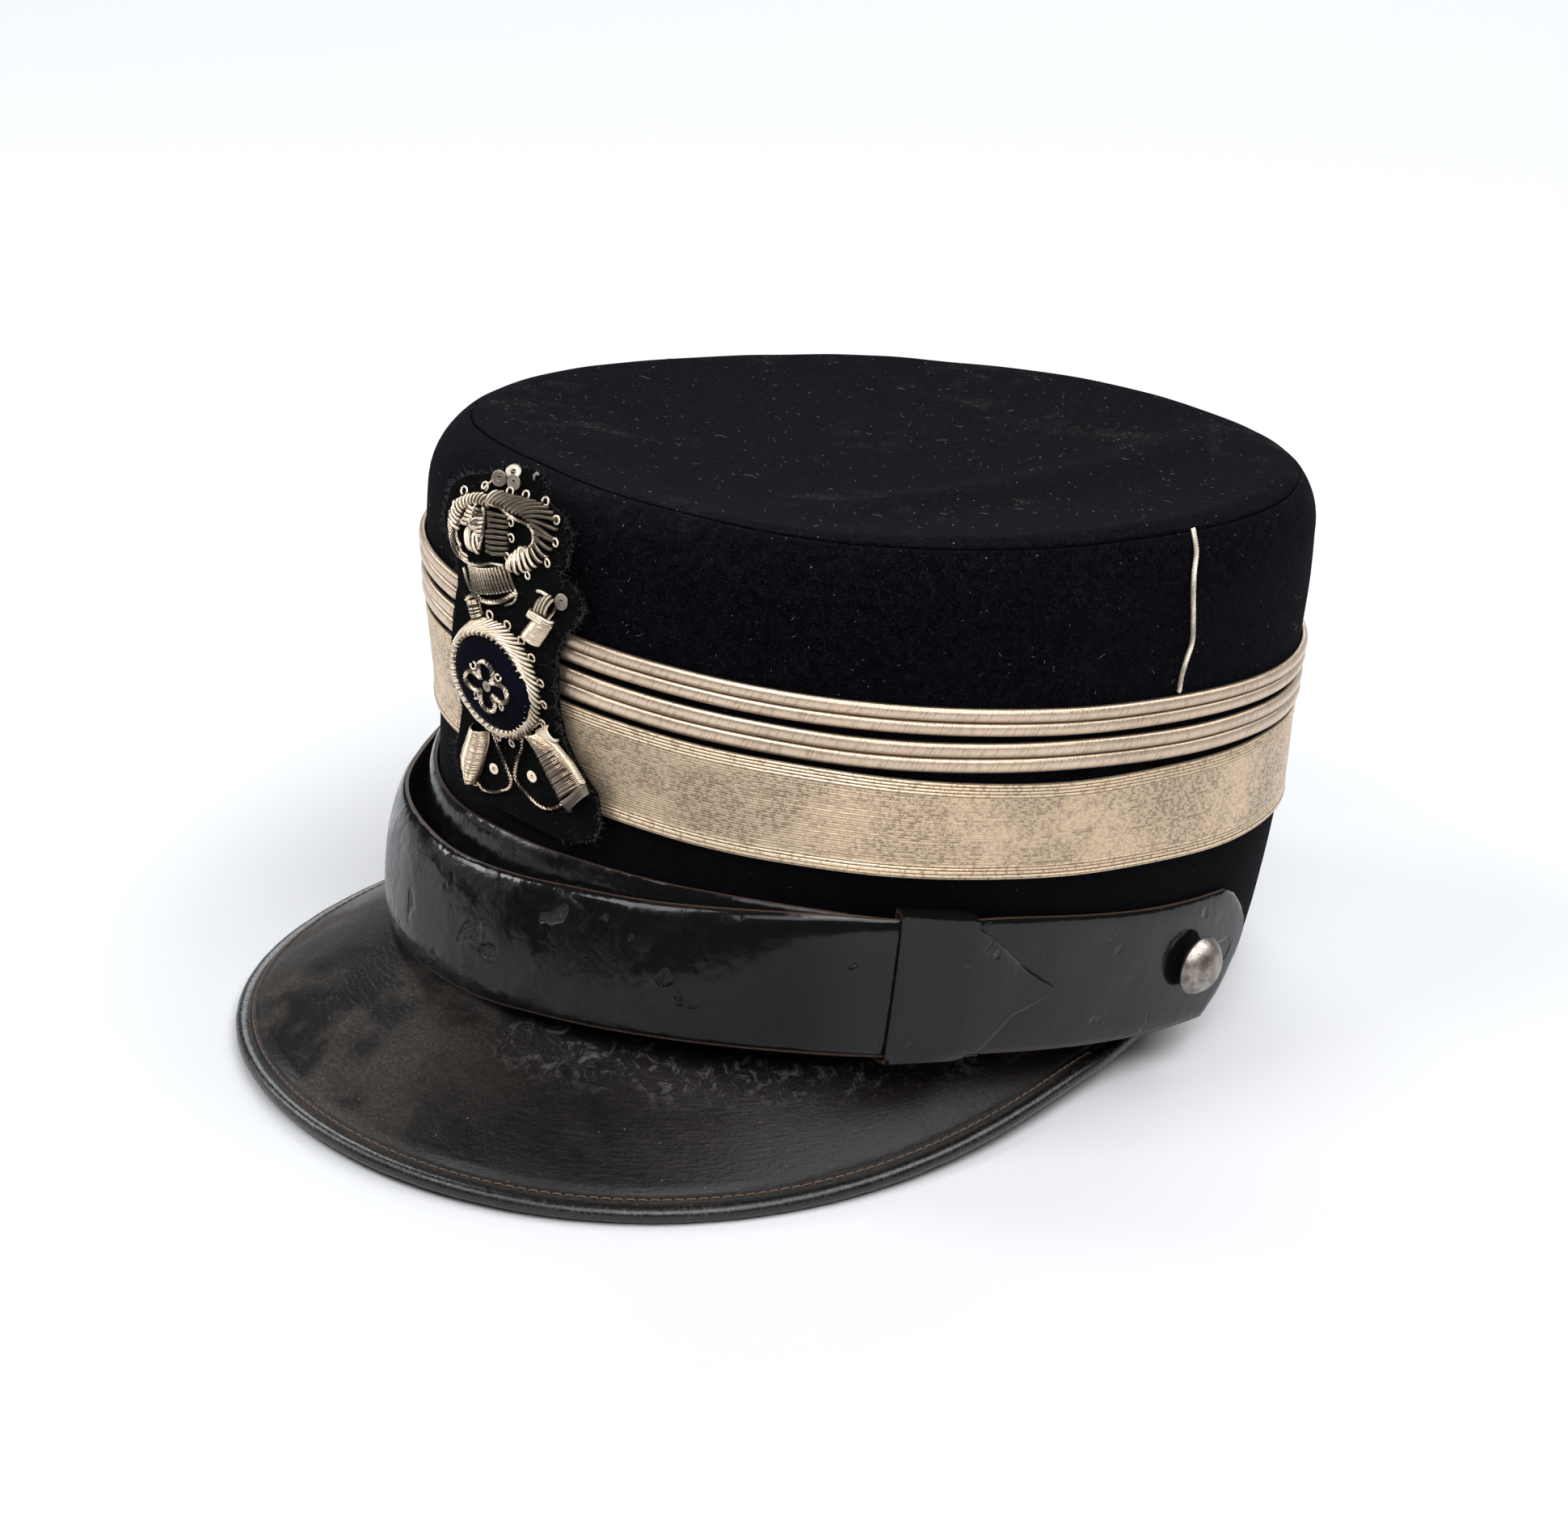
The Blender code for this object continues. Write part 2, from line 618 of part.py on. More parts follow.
BUTTON_PROFILE = (
    # radius, height above the strap
    (0.0, 6.6), (2.7, 6.25), (4.7, 5.2), (6.2, 3.6), (BUTTON_RADIUS, 2.4),
    (6.4, 1.85), (1.6, 1.65), (1.6, 0.35), (0.0, 0.35),
)
for name, side, table in (("button_left", 1, STRAP_INNER), ("button_right", -1, STRAP_OUTER)):
    mesh = bpy.data.meshes.new(name)
    mesh.from_pydata([(r * MM, 0.0, h * MM) for r, h in BUTTON_PROFILE],
                     [(k, k + 1) for k in range(len(BUTTON_PROFILE) - 1)], [])
    button = bpy.data.objects.new(name, mesh)
    bpy.context.scene.collection.objects.link(button)
    screw = button.modifiers.new("turned", 'SCREW')
    screw.steps = screw.render_steps = 16
    screw.use_merge_vertices = True
    screw.merge_threshold = 0.00005
    foot = strap_point(table, side * BUTTON_PHI, 0.52)
    along = strap_point(table, side * (BUTTON_PHI + 2), 0.52) - strap_point(table, side * (BUTTON_PHI - 2), 0.52)
    across = strap_point(table, side * BUTTON_PHI, 0.7) - strap_point(table, side * BUTTON_PHI, 0.3)
    normal = along.cross(across).normalized()
    if normal.x * side < 0:
        normal.negate()
    across.normalize()
    right = across.cross(normal)
    button.matrix_local = Matrix.Translation(foot * MM) @ Matrix((right, across, normal)).transposed().to_4x4()
    finish(button, "pewter")

# --------------------------------------------------------------------- peak
rows = []
for k in range(37):
    f = -PLATE_END + 2 * PLATE_END * k / 36
    outer = peak_length(f) - 2 * BINDING_RADIUS - 0.5
    rows.append([peak_point(f, -1.2 + (outer + 1.2) * t) for t in (1.0, 0.8, 0.6, 0.4, 0.2, 0.0)])
loft("peak", [row[::-1] for row in rows], "peak_leather", thickness=PEAK_THICK)

curve = bpy.data.curves.new("peak_binding", 'CURVE')
curve.dimensions = '3D'
curve.bevel_depth = BINDING_RADIUS * MM
curve.bevel_resolution = 2
curve.use_fill_caps = True
spline = curve.splines.new('POLY')
spline.points.add(44)
for k, point in enumerate(spline.points):
    f = -BINDING_END + 2 * BINDING_END * k / 44
    out = max(peak_length(f) - BINDING_RADIUS - 0.1, 0.6)
    p = peak_point(f, out, 0.9)
    p.z = -((p.z**4 + 2.8**4) ** 0.25)
    point.co = (*(p * MM), 1.0)
finish(bpy.data.objects.new("peak_binding", curve), "peak_leather")

# ------------------------------------------------------------- red rim edge
def lining_foot(phi):
    """The red edge shows a little below the rim behind the strap's ends."""
    return 0.4 - 1.3 * math.exp(-((abs(phi) - 116.0) / 11.0) ** 2)


inside = -SIDE_WALL - 0.45
rows = [[crown(turn(k), 0.0, inside) + Vector((0, 0, lining_foot(turn(k)))) for k in range(SEGMENTS)],
        [crown(turn(k), 0.0, inside) + Vector((0, 0, 1.5)) for k in range(SEGMENTS)]]
rise = (LINING_HEIGHT - 1.5) / 18.5
rows.append([(crown(turn(k), 0.0, inside) + Vector((0, 0, 1.5))).lerp(crown(turn(k), 20.0, inside), rise)
             for k in range(SEGMENTS)])
loft("rim_lining", rows, "red_cloth", around=True, thickness=LINING_THICK)


# ------------------------------------------------- how the hat lies by itself
def world_points(names):
    bpy.context.view_layer.update()
    depsgraph = bpy.context.evaluated_depsgraph_get()
    found = []
    for obj in collection.objects:
        if obj.type in {'MESH', 'CURVE'} and (names is None or obj.name in names):
            evaluated = obj.evaluated_get(depsgraph)
            mesh_ = evaluated.to_mesh()
            found += [tuple(evaluated.matrix_world @ v.co) for v in mesh_.vertices]
            evaluated.to_mesh_clear()
    return np.array(found)


front = world_points({"peak_binding"})
back = world_points({"crown_side"})


def gap_to_floor(angle):
    """How much lower the peak's edge hangs than the back of the rim."""
    c, s = math.cos(angle), math.sin(angle)
    return (front[:, 2] * c - front[:, 1] * s).min() - (back[:, 2] * c - back[:, 1] * s).min()


low_angle, high_angle = 0.0, math.radians(15.0)
for _ in range(50):
    middle_angle = 0.5 * (low_angle + high_angle)
    if gap_to_floor(middle_angle) < 0:
        low_angle = middle_angle
    else:
        high_angle = middle_angle
rest.rotation_euler = (-middle_angle, 0.0, 0.0)

points = world_points(None)
low, high = points.min(axis=0), points.max(axis=0)
rest.location = (-(low[0] + high[0]) / 2, -(low[1] + high[1]) / 2, -low[2])
bpy.context.view_layer.update()
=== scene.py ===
"""Looks of the kepi cap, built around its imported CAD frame.

The functions below give points in the hat's own frame, in millimetres: z = 0 is
the plane of the rim, the front is -Y and phi runs round the crown in degrees
from the front towards +X.  World() lays them down as the cap rests.
"""
import math

import bpy
import numpy as np
from mathutils import Matrix, Vector, noise

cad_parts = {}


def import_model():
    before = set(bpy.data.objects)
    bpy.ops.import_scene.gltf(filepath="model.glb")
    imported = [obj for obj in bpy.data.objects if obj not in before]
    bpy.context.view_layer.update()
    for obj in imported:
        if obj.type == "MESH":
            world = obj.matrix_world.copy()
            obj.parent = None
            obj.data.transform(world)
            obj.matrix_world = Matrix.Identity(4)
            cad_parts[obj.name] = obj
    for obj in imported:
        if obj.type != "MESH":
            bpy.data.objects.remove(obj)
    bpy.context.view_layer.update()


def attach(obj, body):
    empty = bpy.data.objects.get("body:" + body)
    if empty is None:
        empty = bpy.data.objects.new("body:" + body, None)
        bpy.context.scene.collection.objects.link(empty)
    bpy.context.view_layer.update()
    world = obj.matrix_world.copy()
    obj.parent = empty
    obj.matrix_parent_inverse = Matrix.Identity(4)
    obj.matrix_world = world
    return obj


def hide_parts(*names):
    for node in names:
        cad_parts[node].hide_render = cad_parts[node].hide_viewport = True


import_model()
rng = np.random.default_rng(7)

# ------------------------------------------------------------- rest transform
LAY = math.radians(-6.952464)
PLACE = np.array((0.035, 23.861, 12.462))
TILT = np.array(((1, 0, 0), (0, math.cos(LAY), -math.sin(LAY)), (0, math.sin(LAY), math.cos(LAY))))


def world(points):
    """Hat frame in millimetres to the row frame in metres."""
    return (np.asarray(points, float) @ TILT.T + PLACE) * 0.001


# ------------------------------------------------------------------ cap shape
SQUARENESS = 2.1955
SHOULDER_DROP = 14.0
SHOULDER_INSET = 10.0
SEAM_ANGLE = 62.0
SEAM_RISE = 20.0
DISH = 6.0
LACE_LOW, LACE_HIGH = 45.7, 68.7
BRAID_LOWER = (69.9, 76.7)
BRAID_UPPER = (78.1, 84.3)
STRAP_THICK = 1.8
KEEPER_SPAN = (57.6, 67.6)
KEEPER_LEAN = 2.4
BUTTON_PHI = 102.3
PEAK_SPAN = 105.9
PEAK_LENGTH = 53.0
PEAK_THICK = 2.4
BINDING_RADIUS = 2.2

SECTIONS = (
    # height, half_length, half_width, centre_y
    (0.0, 102.95, 75.8, 0.0),
    (20.0, 100.0, 82.2, -0.85),
    (45.0, 97.75, 87.85, -3.15),
    (70.0, 99.4, 88.9, -7.4),
    (95.0, 99.75, 90.65, -10.5),
    (112.0, 95.7, 92.05, -10.7),
)
STRAP_OUTER = (
    # phi, top_height, low_height, top_out, low_out, bulge
    (-116.0, 31.0, 0.8, 2.4, 9.5, 0.0),
    (-98.0, 32.8, 1.6, 2.4, 9.6, 0.0),
    (-84.0, 33.6, 2.6, 4.7, 11.7, 0.0),
    (-73.0, 32.6, 2.4, 5.6, 11.6, 0.1),
    (-63.0, 30.6, 1.4, 6.9, 11.6, 0.4),
    (-52.0, 26.6, -1.0, 7.8, 10.4, 1.0),
    (-42.0, 24.2, -3.2, 8.4, 9.6, 1.6),
    (-30.0, 24.4, -4.0, 8.4, 9.1, 1.8),
    (-15.0, 24.7, -3.5, 8.5, 8.6, 1.8),
    (-5.0, 25.0, -3.0, 8.5, 8.1, 1.7),
    (5.0, 27.2, -1.3, 7.6, 8.4, 1.7),
    (14.0, 29.6, 1.0, 6.6, 9.0, 1.7),
    (25.0, 31.8, 3.3, 5.6, 10.2, 1.5),
    (36.0, 34.4, 4.9, 5.3, 10.8, 1.2),
    (46.0, 36.4, 5.7, 5.6, 11.0, 0.8),
    (57.0, 37.1, 5.9, 6.1, 11.4, 0.4),
    (68.0, 37.4, 5.3, 6.7, 11.6, 0.0),
    (82.0, 35.4, 3.9, 4.7, 11.7, 0.0),
)
STRAP_INNER = (
    # phi, top_height, low_height, top_out, low_out, bulge
    (-82.0, 33.4, 3.0, 2.4, 9.4, 0.0),
    (-72.0, 34.0, 3.0, 3.1, 9.3, 0.0),
    (-63.0, 34.0, 2.6, 4.5, 9.1, 0.0),
    (-53.0, 33.2, 1.6, 3.4, 7.8, 0.0),
    (-43.0, 31.8, 0.2, 2.4, 5.5, 0.0),
    (-30.0, 30.5, 0.0, 2.3, 3.5, 0.0),
    (-15.0, 30.3, -0.1, 2.3, 2.4, 0.0),
    (0.0, 32.0, 0.0, 2.3, 2.4, 0.0),
    (14.0, 34.1, 0.9, 2.3, 2.8, 0.0),
    (25.0, 35.2, 2.1, 2.3, 3.8, 0.0),
    (36.0, 36.1, 3.0, 2.3, 5.1, 0.0),
    (46.0, 36.3, 3.7, 2.5, 6.6, 0.0),
    (57.0, 36.2, 4.3, 3.9, 8.4, 0.0),
    (63.0, 36.5, 4.5, 4.5, 9.1, 0.0),
    (73.0, 36.4, 4.4, 3.1, 9.3, 0.0),
    (83.0, 35.0, 3.3, 2.4, 9.4, 0.0),
    (93.0, 33.3, 1.9, 2.3, 9.5, 0.0),
    (102.0, 32.6, 1.4, 2.3, 9.5, 0.0),
    (116.0, 31.6, 1.3, 2.3, 9.5, 0.0),
)
POINTED_END = (
    # phi, low_part, top_part of the strap's width
    (66.8, 0.0, 1.0),
    (72.3, 0.0, 0.81),
    (75.8, 0.28, 0.66),
    (80.8, 0.44, 0.50),
)
BUTTON_END = (
    # phi, low_part, top_part of the strap's width
    (106.8, 0.0, 1.0),
    (109.6, 0.13, 1.0),
    (112.0, 0.30, 0.95),
    (114.4, 0.46, 0.83),
    (115.4, 0.58, 0.72),
)
SIDE_CORD = (
    # phi, height
    (93.9, 119.0),
    (92.9, 115.5),
    (92.2, 111.6),
    (92.4, 106.4),
    (93.1, 102.3),
    (93.8, 96.6),
    (93.4, 92.0),
    (93.1, 88.4),
    (93.4, 85.1),
)
PATCH_FRONT = (
    # height, y of the patch's front face at its middle
    (36.0, -103.6),
    (46.0, -105.0),
    (58.0, -108.0),
    (70.0, -111.2),
    (84.0, -113.5),
    (95.0, -114.4),
    (104.0, -114.0),
    (110.0, -112.7),
    (115.0, -111.0),
)
PATCH_OUTLINE = (
    # height, left_edge, right_edge
    (115.0, 3.0, 7.5),
    (112.2, -5.0, 9.0),
    (110.2, -9.0, 9.8),
    (108.4, -15.5, 16.5),
    (105.5, -20.0, 20.5),
    (99.2, -21.0, 20.5),
    (96.6, -20.0, 18.8),
    (94.8, -18.0, 25.5),
    (91.8, -13.5, 27.0),
    (88.0, -12.5, 25.0),
    (84.0, -13.0, 21.0),
    (79.0, -14.5, 19.2),
    (73.0, -15.8, 19.0),
    (67.0, -16.2, 19.0),
    (61.0, -15.2, 20.0),
    (56.5, -14.2, 22.5),
    (51.0, -17.0, 28.2),
    (45.0, -19.5, 29.2),
    (41.0, -18.0, 27.5),
    (38.4, -13.0, 22.0),
    (36.8, -8.0, 14.0),
)
RING_CENTRE = (1.4, 68.0)
RING_WIDE, RING_TALL, RING_TUBE = 12.2, 11.7, 1.8
DISC_RADIUS = 9.6


def smooth(table, column, x):
    xs = [row[0] for row in table]
    ys = [row[column] for row in table]
    if x <= xs[0]:
        return ys[0]
    if x >= xs[-1]:
        return ys[-1]
    i = max(k for k in range(len(xs) - 1) if xs[k] <= x)

    def slope(k):
        if k == 0:
            return (ys[1] - ys[0]) / (xs[1] - xs[0])
        if k == len(xs) - 1:
            return (ys[-1] - ys[-2]) / (xs[-1] - xs[-2])
        return (ys[k + 1] - ys[k - 1]) / (xs[k + 1] - xs[k - 1])

    step = xs[i + 1] - xs[i]
    t = (x - xs[i]) / step
    return ((2 * t**3 - 3 * t**2 + 1) * ys[i] + (t**3 - 2 * t**2 + t) * step * slope(i)
            + (3 * t**2 - 2 * t**3) * ys[i + 1] + (t**3 - t**2) * step * slope(i + 1))


def straight(table, column, x):
    return float(np.interp(x, [row[0] for row in table], [row[column] for row in table]))


def power(value, exponent):
    return math.copysign(abs(value) ** exponent, value)


def oval(half_length, half_width, centre_y, phi, height, out=0.0):
    c, s = math.cos(math.radians(phi)), math.sin(math.radians(phi))
    x = half_width * power(s, 2 / SQUARENESS)
    y = centre_y - half_length * power(c, 2 / SQUARENESS)
    nx = power(x / half_width, SQUARENESS - 1) / half_width
    ny = power((y - centre_y) / half_length, SQUARENESS - 1) / half_length
    n = math.hypot(nx, ny)
    return np.array((x + nx / n * out, y + ny / n * out, height))


_sections = {}


def section(height):
    key = round(height, 4)
    if key not in _sections:
        _sections[key] = [smooth(SECTIONS, column, height) for column in (1, 2, 3)]
    return _sections[key]


def crown(phi, height, out=0.0):
    return oval(*section(height), phi, height, out)


def unit(v):
    return v / np.linalg.norm(v)


def outward(phi, height):
    return unit(crown(phi, height, 1.0) - crown(phi, height))


def crest_height(phi):
    f = math.radians(phi)
    return (115.5 - 4.2 * math.cos(f) + 5.2 * math.sin(f)
            + 0.2 * math.cos(2 * f) - 0.6 * math.sin(2 * f))


def shoulder(phi, angle, out=0.0):
    start = crest_height(phi) - SHOULDER_DROP
    low = section(start)
    top = list(section(112.0))
    top[0] -= SHOULDER_INSET
    top[1] -= SHOULDER_INSET
    k = math.cos(math.radians(angle))
    mixed = [b + (a - b) * k for a, b in zip(low, top)]
    p = oval(*mixed, phi, start + SHOULDER_DROP * math.sin(math.radians(angle)))
    if out:
        f = math.radians(angle)
        n = unit(outward(phi, 100.0) * math.cos(f) + np.array((0, 0, 1.0)) * math.sin(f))
        p = p + n * out
    return p


def top_height(x, y, part, phi):
    f = math.radians(phi)
    z = (115.5 + part * (-4.2 * math.cos(f) + 5.2 * math.sin(f))
         + part**2 * (0.2 * math.cos(2 * f) - 0.6 * math.sin(2 * f)))
    z -= DISH * (1 - part**2.5)
    fade = (1 - part**4)
    ridge_x = 36.0 - 0.0011 * (y + 15.0) ** 2
    along = 1 / (1 + math.exp(-(y + 50.0) / 9.0))
    z += 3.2 * along * fade * math.exp(-((x - ridge_x) / 8.0) ** 2)
    z -= 2.6 * fade * math.exp(-((x + 24.0) / 20.0) ** 2 - ((y + 80.0) / 10.0) ** 2)
    return z


def plate(across, height, above=0.0):
    def face(u, h):
        return np.array((u, smooth(PATCH_FRONT, 1, h) + 0.079 * u + 0.0006 * u * u, h))
    du = face(across + 0.5, height) - face(across - 0.5, height)
    dh = face(across, height + 0.5) - face(across, height - 0.5)
    return face(across, height) + unit(np.cross(du, dh)) * above


def strap_point(table, phi, part, out=0.0):
    low_height = smooth(table, 2, phi)
    low = crown(phi, max(low_height, 0.0), smooth(table, 4, phi) + out)
    low[2] = low_height
    top = crown(phi, smooth(table, 1, phi), smooth(table, 3, phi) + out)
    bulge = smooth(table, 5, phi) * 4 * part * (1 - part)
    return low + (top - low) * part + outward(phi, 15.0) * bulge


def peak_length(f):
    return PEAK_LENGTH * (1 - abs(f) ** 1.805) * (1 - 0.331 * f * f)


def peak_point(f, out, below=0.0):
    phi = PEAK_SPAN * f
    slope = math.radians(31.55 + 21.34 * f * f - 19.6 * f**4)
    root = crown(phi, 0.0)
    normal = outward(phi, 0.0)
    length = peak_length(f)
    along = min(max(out / max(length, 1.0), 0.0), 1.0)
    lift = 4 * along * (1 - along) * length / PEAK_LENGTH - 0.35 * (1 - along)
    upward = np.array((0, 0, 1.0)) * math.cos(slope) + normal * math.sin(slope)
    point = root + normal * (out * math.cos(slope) if out > 0 else out)
    point[2] = -max(out, 0.0) * math.sin(slope) + lift
    return point - upward * below


def wave(p, scale, seed=0.0):
    """Smooth noise of about -1 to 1 with features of scale mm."""
    return noise.noise(Vector((p[0] / scale + seed, p[1] / scale + 3.7 * seed, p[2] / scale - seed)))


# --------------------------------------------------------------- mesh making
class Soup:
    """Collects surfaces into one mesh, with a uv layer in millimetres."""

    def __init__(self):
        self.points, self.faces, self.uvs, self.kinds = [], [], [], []
        self.count = 0

    def grid(self, rows, uv=None, around=False, closed=False, kind=0):
        """rows is (R, C, 3); around joins the last column to the first, closed the last row."""
        rows = np.asarray(rows, float)
        r_, c_ = rows.shape[:2]
        if uv is None:
            uv = np.zeros((r_ + 1, c_ + 1, 2))
        start = self.count
        self.points.append(rows.reshape(-1, 3))
        self.count += r_ * c_
        rr = np.arange(r_ if closed else r_ - 1)
        cc = np.arange(c_ if around else c_ - 1)
        a, b = np.meshgrid(rr, cc, indexing="ij")
        a, b = a.ravel(), b.ravel()
        a2, b2 = (a + 1) % r_, (b + 1) % c_
        self.faces += np.stack((a * c_ + b, a * c_ + b2, a2 * c_ + b2, a2 * c_ + b), 1).__add__(start).tolist()
        corner = np.stack((uv[a, b], uv[a, b + 1], uv[a + 1, b + 1], uv[a + 1, b]), 1)
        self.uvs += corner.reshape(-1, 2).tolist()
        kinds = kind if np.ndim(kind) else np.full(r_, kind)
        self.kinds += np.asarray(kinds)[a].tolist()
        return start

    def fan(self, ring, centre, flip=False, kind=0):
        """ring is a list of point numbers; centre a new point."""
        self.points.append(np.asarray(centre, float).reshape(1, 3))
        self.count += 1
        tip = self.count - 1
        n = len(ring)
        for k in range(n):
            a, b = ring[k], ring[(k + 1) % n]
            self.faces.append((b, a, tip) if flip else (a, b, tip))
            self.uvs += [(0, 0)] * 3
            self.kinds.append(kind)

    def tube(self, path, radius, sides=8, kind=0, squash=1.0, side=None, shift=0.0):
        """A round rod along path with closed ends; radius may differ along it."""
        path = np.asarray(path, float)
        n = len(path)
        t = np.gradient(path, axis=0)
        t /= np.linalg.norm(t, axis=1)[:, None]
        ref = np.array((0.1, -1.0, 0.2)) if side is None else np.asarray(side, float)
        if abs(np.dot(unit(ref), t[0])) > 0.95:
            ref = np.array((1.0, 0.2, 0.1))
        normals = []
        for k in range(n):
            ref = ref - np.dot(ref, t[k]) * t[k]
            ref = unit(ref)
            normals.append(ref)
        normals = np.array(normals)
        across = np.cross(t, normals)
        f = 2 * math.pi * (np.arange(sides) + shift) / sides
        radius = np.broadcast_to(np.asarray(radius, float), (n,))
        rows = (path[:, None] + radius[:, None, None] *
                (np.cos(f)[None, :, None] * normals[:, None] * squash + np.sin(f)[None, :, None] * across[:, None]))
        arc = np.concatenate(((0,), np.cumsum(np.linalg.norm(np.diff(path, axis=0), axis=1))))
        uv = np.zeros((n + 1, sides + 1, 2))
        uv[:n, :, 0] = arc[:, None]
        uv[:, :, 1] = (np.arange(sides + 1) / sides)[None, :]
        start = self.grid(rows, uv, around=True, kind=kind)
        self.fan([start + k for k in range(sides)], path[0] - t[0] * radius[0] * 0.5, flip=True, kind=kind)
        last = start + (n - 1) * sides
        self.fan([last + k for k in range(sides)], path[-1] + t[-1] * radius[-1] * 0.5, kind=kind)

    def make(self, name, materials, node=None, sharp=60):
        points = world(np.concatenate(self.points))
        faces = self.faces
        volume = 0.0
        centre = points.mean(axis=0)
        quads = np.array([f for f in faces if len(f) == 4]).reshape(-1, 4)
        tris = [np.array([f for f in faces if len(f) == 3]).reshape(-1, 3)]
        if len(quads):
            tris += [quads[:, [0, 1, 2]], quads[:, [0, 2, 3]]]
        tri = np.concatenate(tris).astype(int)
        p = points[tri] - centre
        volume = np.einsum("ij,ij->i", p[:, 0], np.cross(p[:, 1], p[:, 2])).sum()
        mesh = bpy.data.meshes.new(name)
        mesh.from_pydata(points.tolist(), [], faces)
        layer = mesh.uv_layers.new(name="cloth_mm")
        layer.data.foreach_set("uv", np.asarray(self.uvs, np.float32).ravel())
        mesh.polygons.foreach_set("material_index", np.asarray(self.kinds, np.int32))
        if volume < 0:
            mesh.flip_normals()
        mesh.shade_smooth()
        if sharp:
            mesh.set_sharp_from_angle(angle=math.radians(sharp))
        mesh.validate()
        obj = bpy.data.objects.new(name, mesh)
        bpy.context.scene.collection.objects.link(obj)
        for material in (materials if isinstance(materials, (list, tuple)) else [materials]):
            mesh.materials.append(material)
        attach(obj, "root")
        if node:
            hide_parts(*([node] if isinstance(node, str) else node))
        return obj


def arc_uv(rows, v, common=False):
    """uv in mm from the length along each row's columns and one value a row.

    common takes the first row's length for all, so threads run straight across.
    """
    r_, c_ = rows.shape[:2]
    loop = np.concatenate((rows, rows[:, :1]), axis=1)
    steps = np.linalg.norm(np.diff(loop, axis=1), axis=2)
    arc = np.concatenate((np.zeros((r_, 1)), np.cumsum(steps, axis=1)), axis=1)
    if common:
        arc[:] = arc[0]
    uv = np.zeros((r_ + 1, c_ + 1, 2))
    uv[:r_, :, 0] = arc
    uv[r_, :, 0] = arc[0]
    uv[:r_, :, 1] = np.asarray(v)[:, None]
    uv[r_, :, 1] = v[0]
    return uv


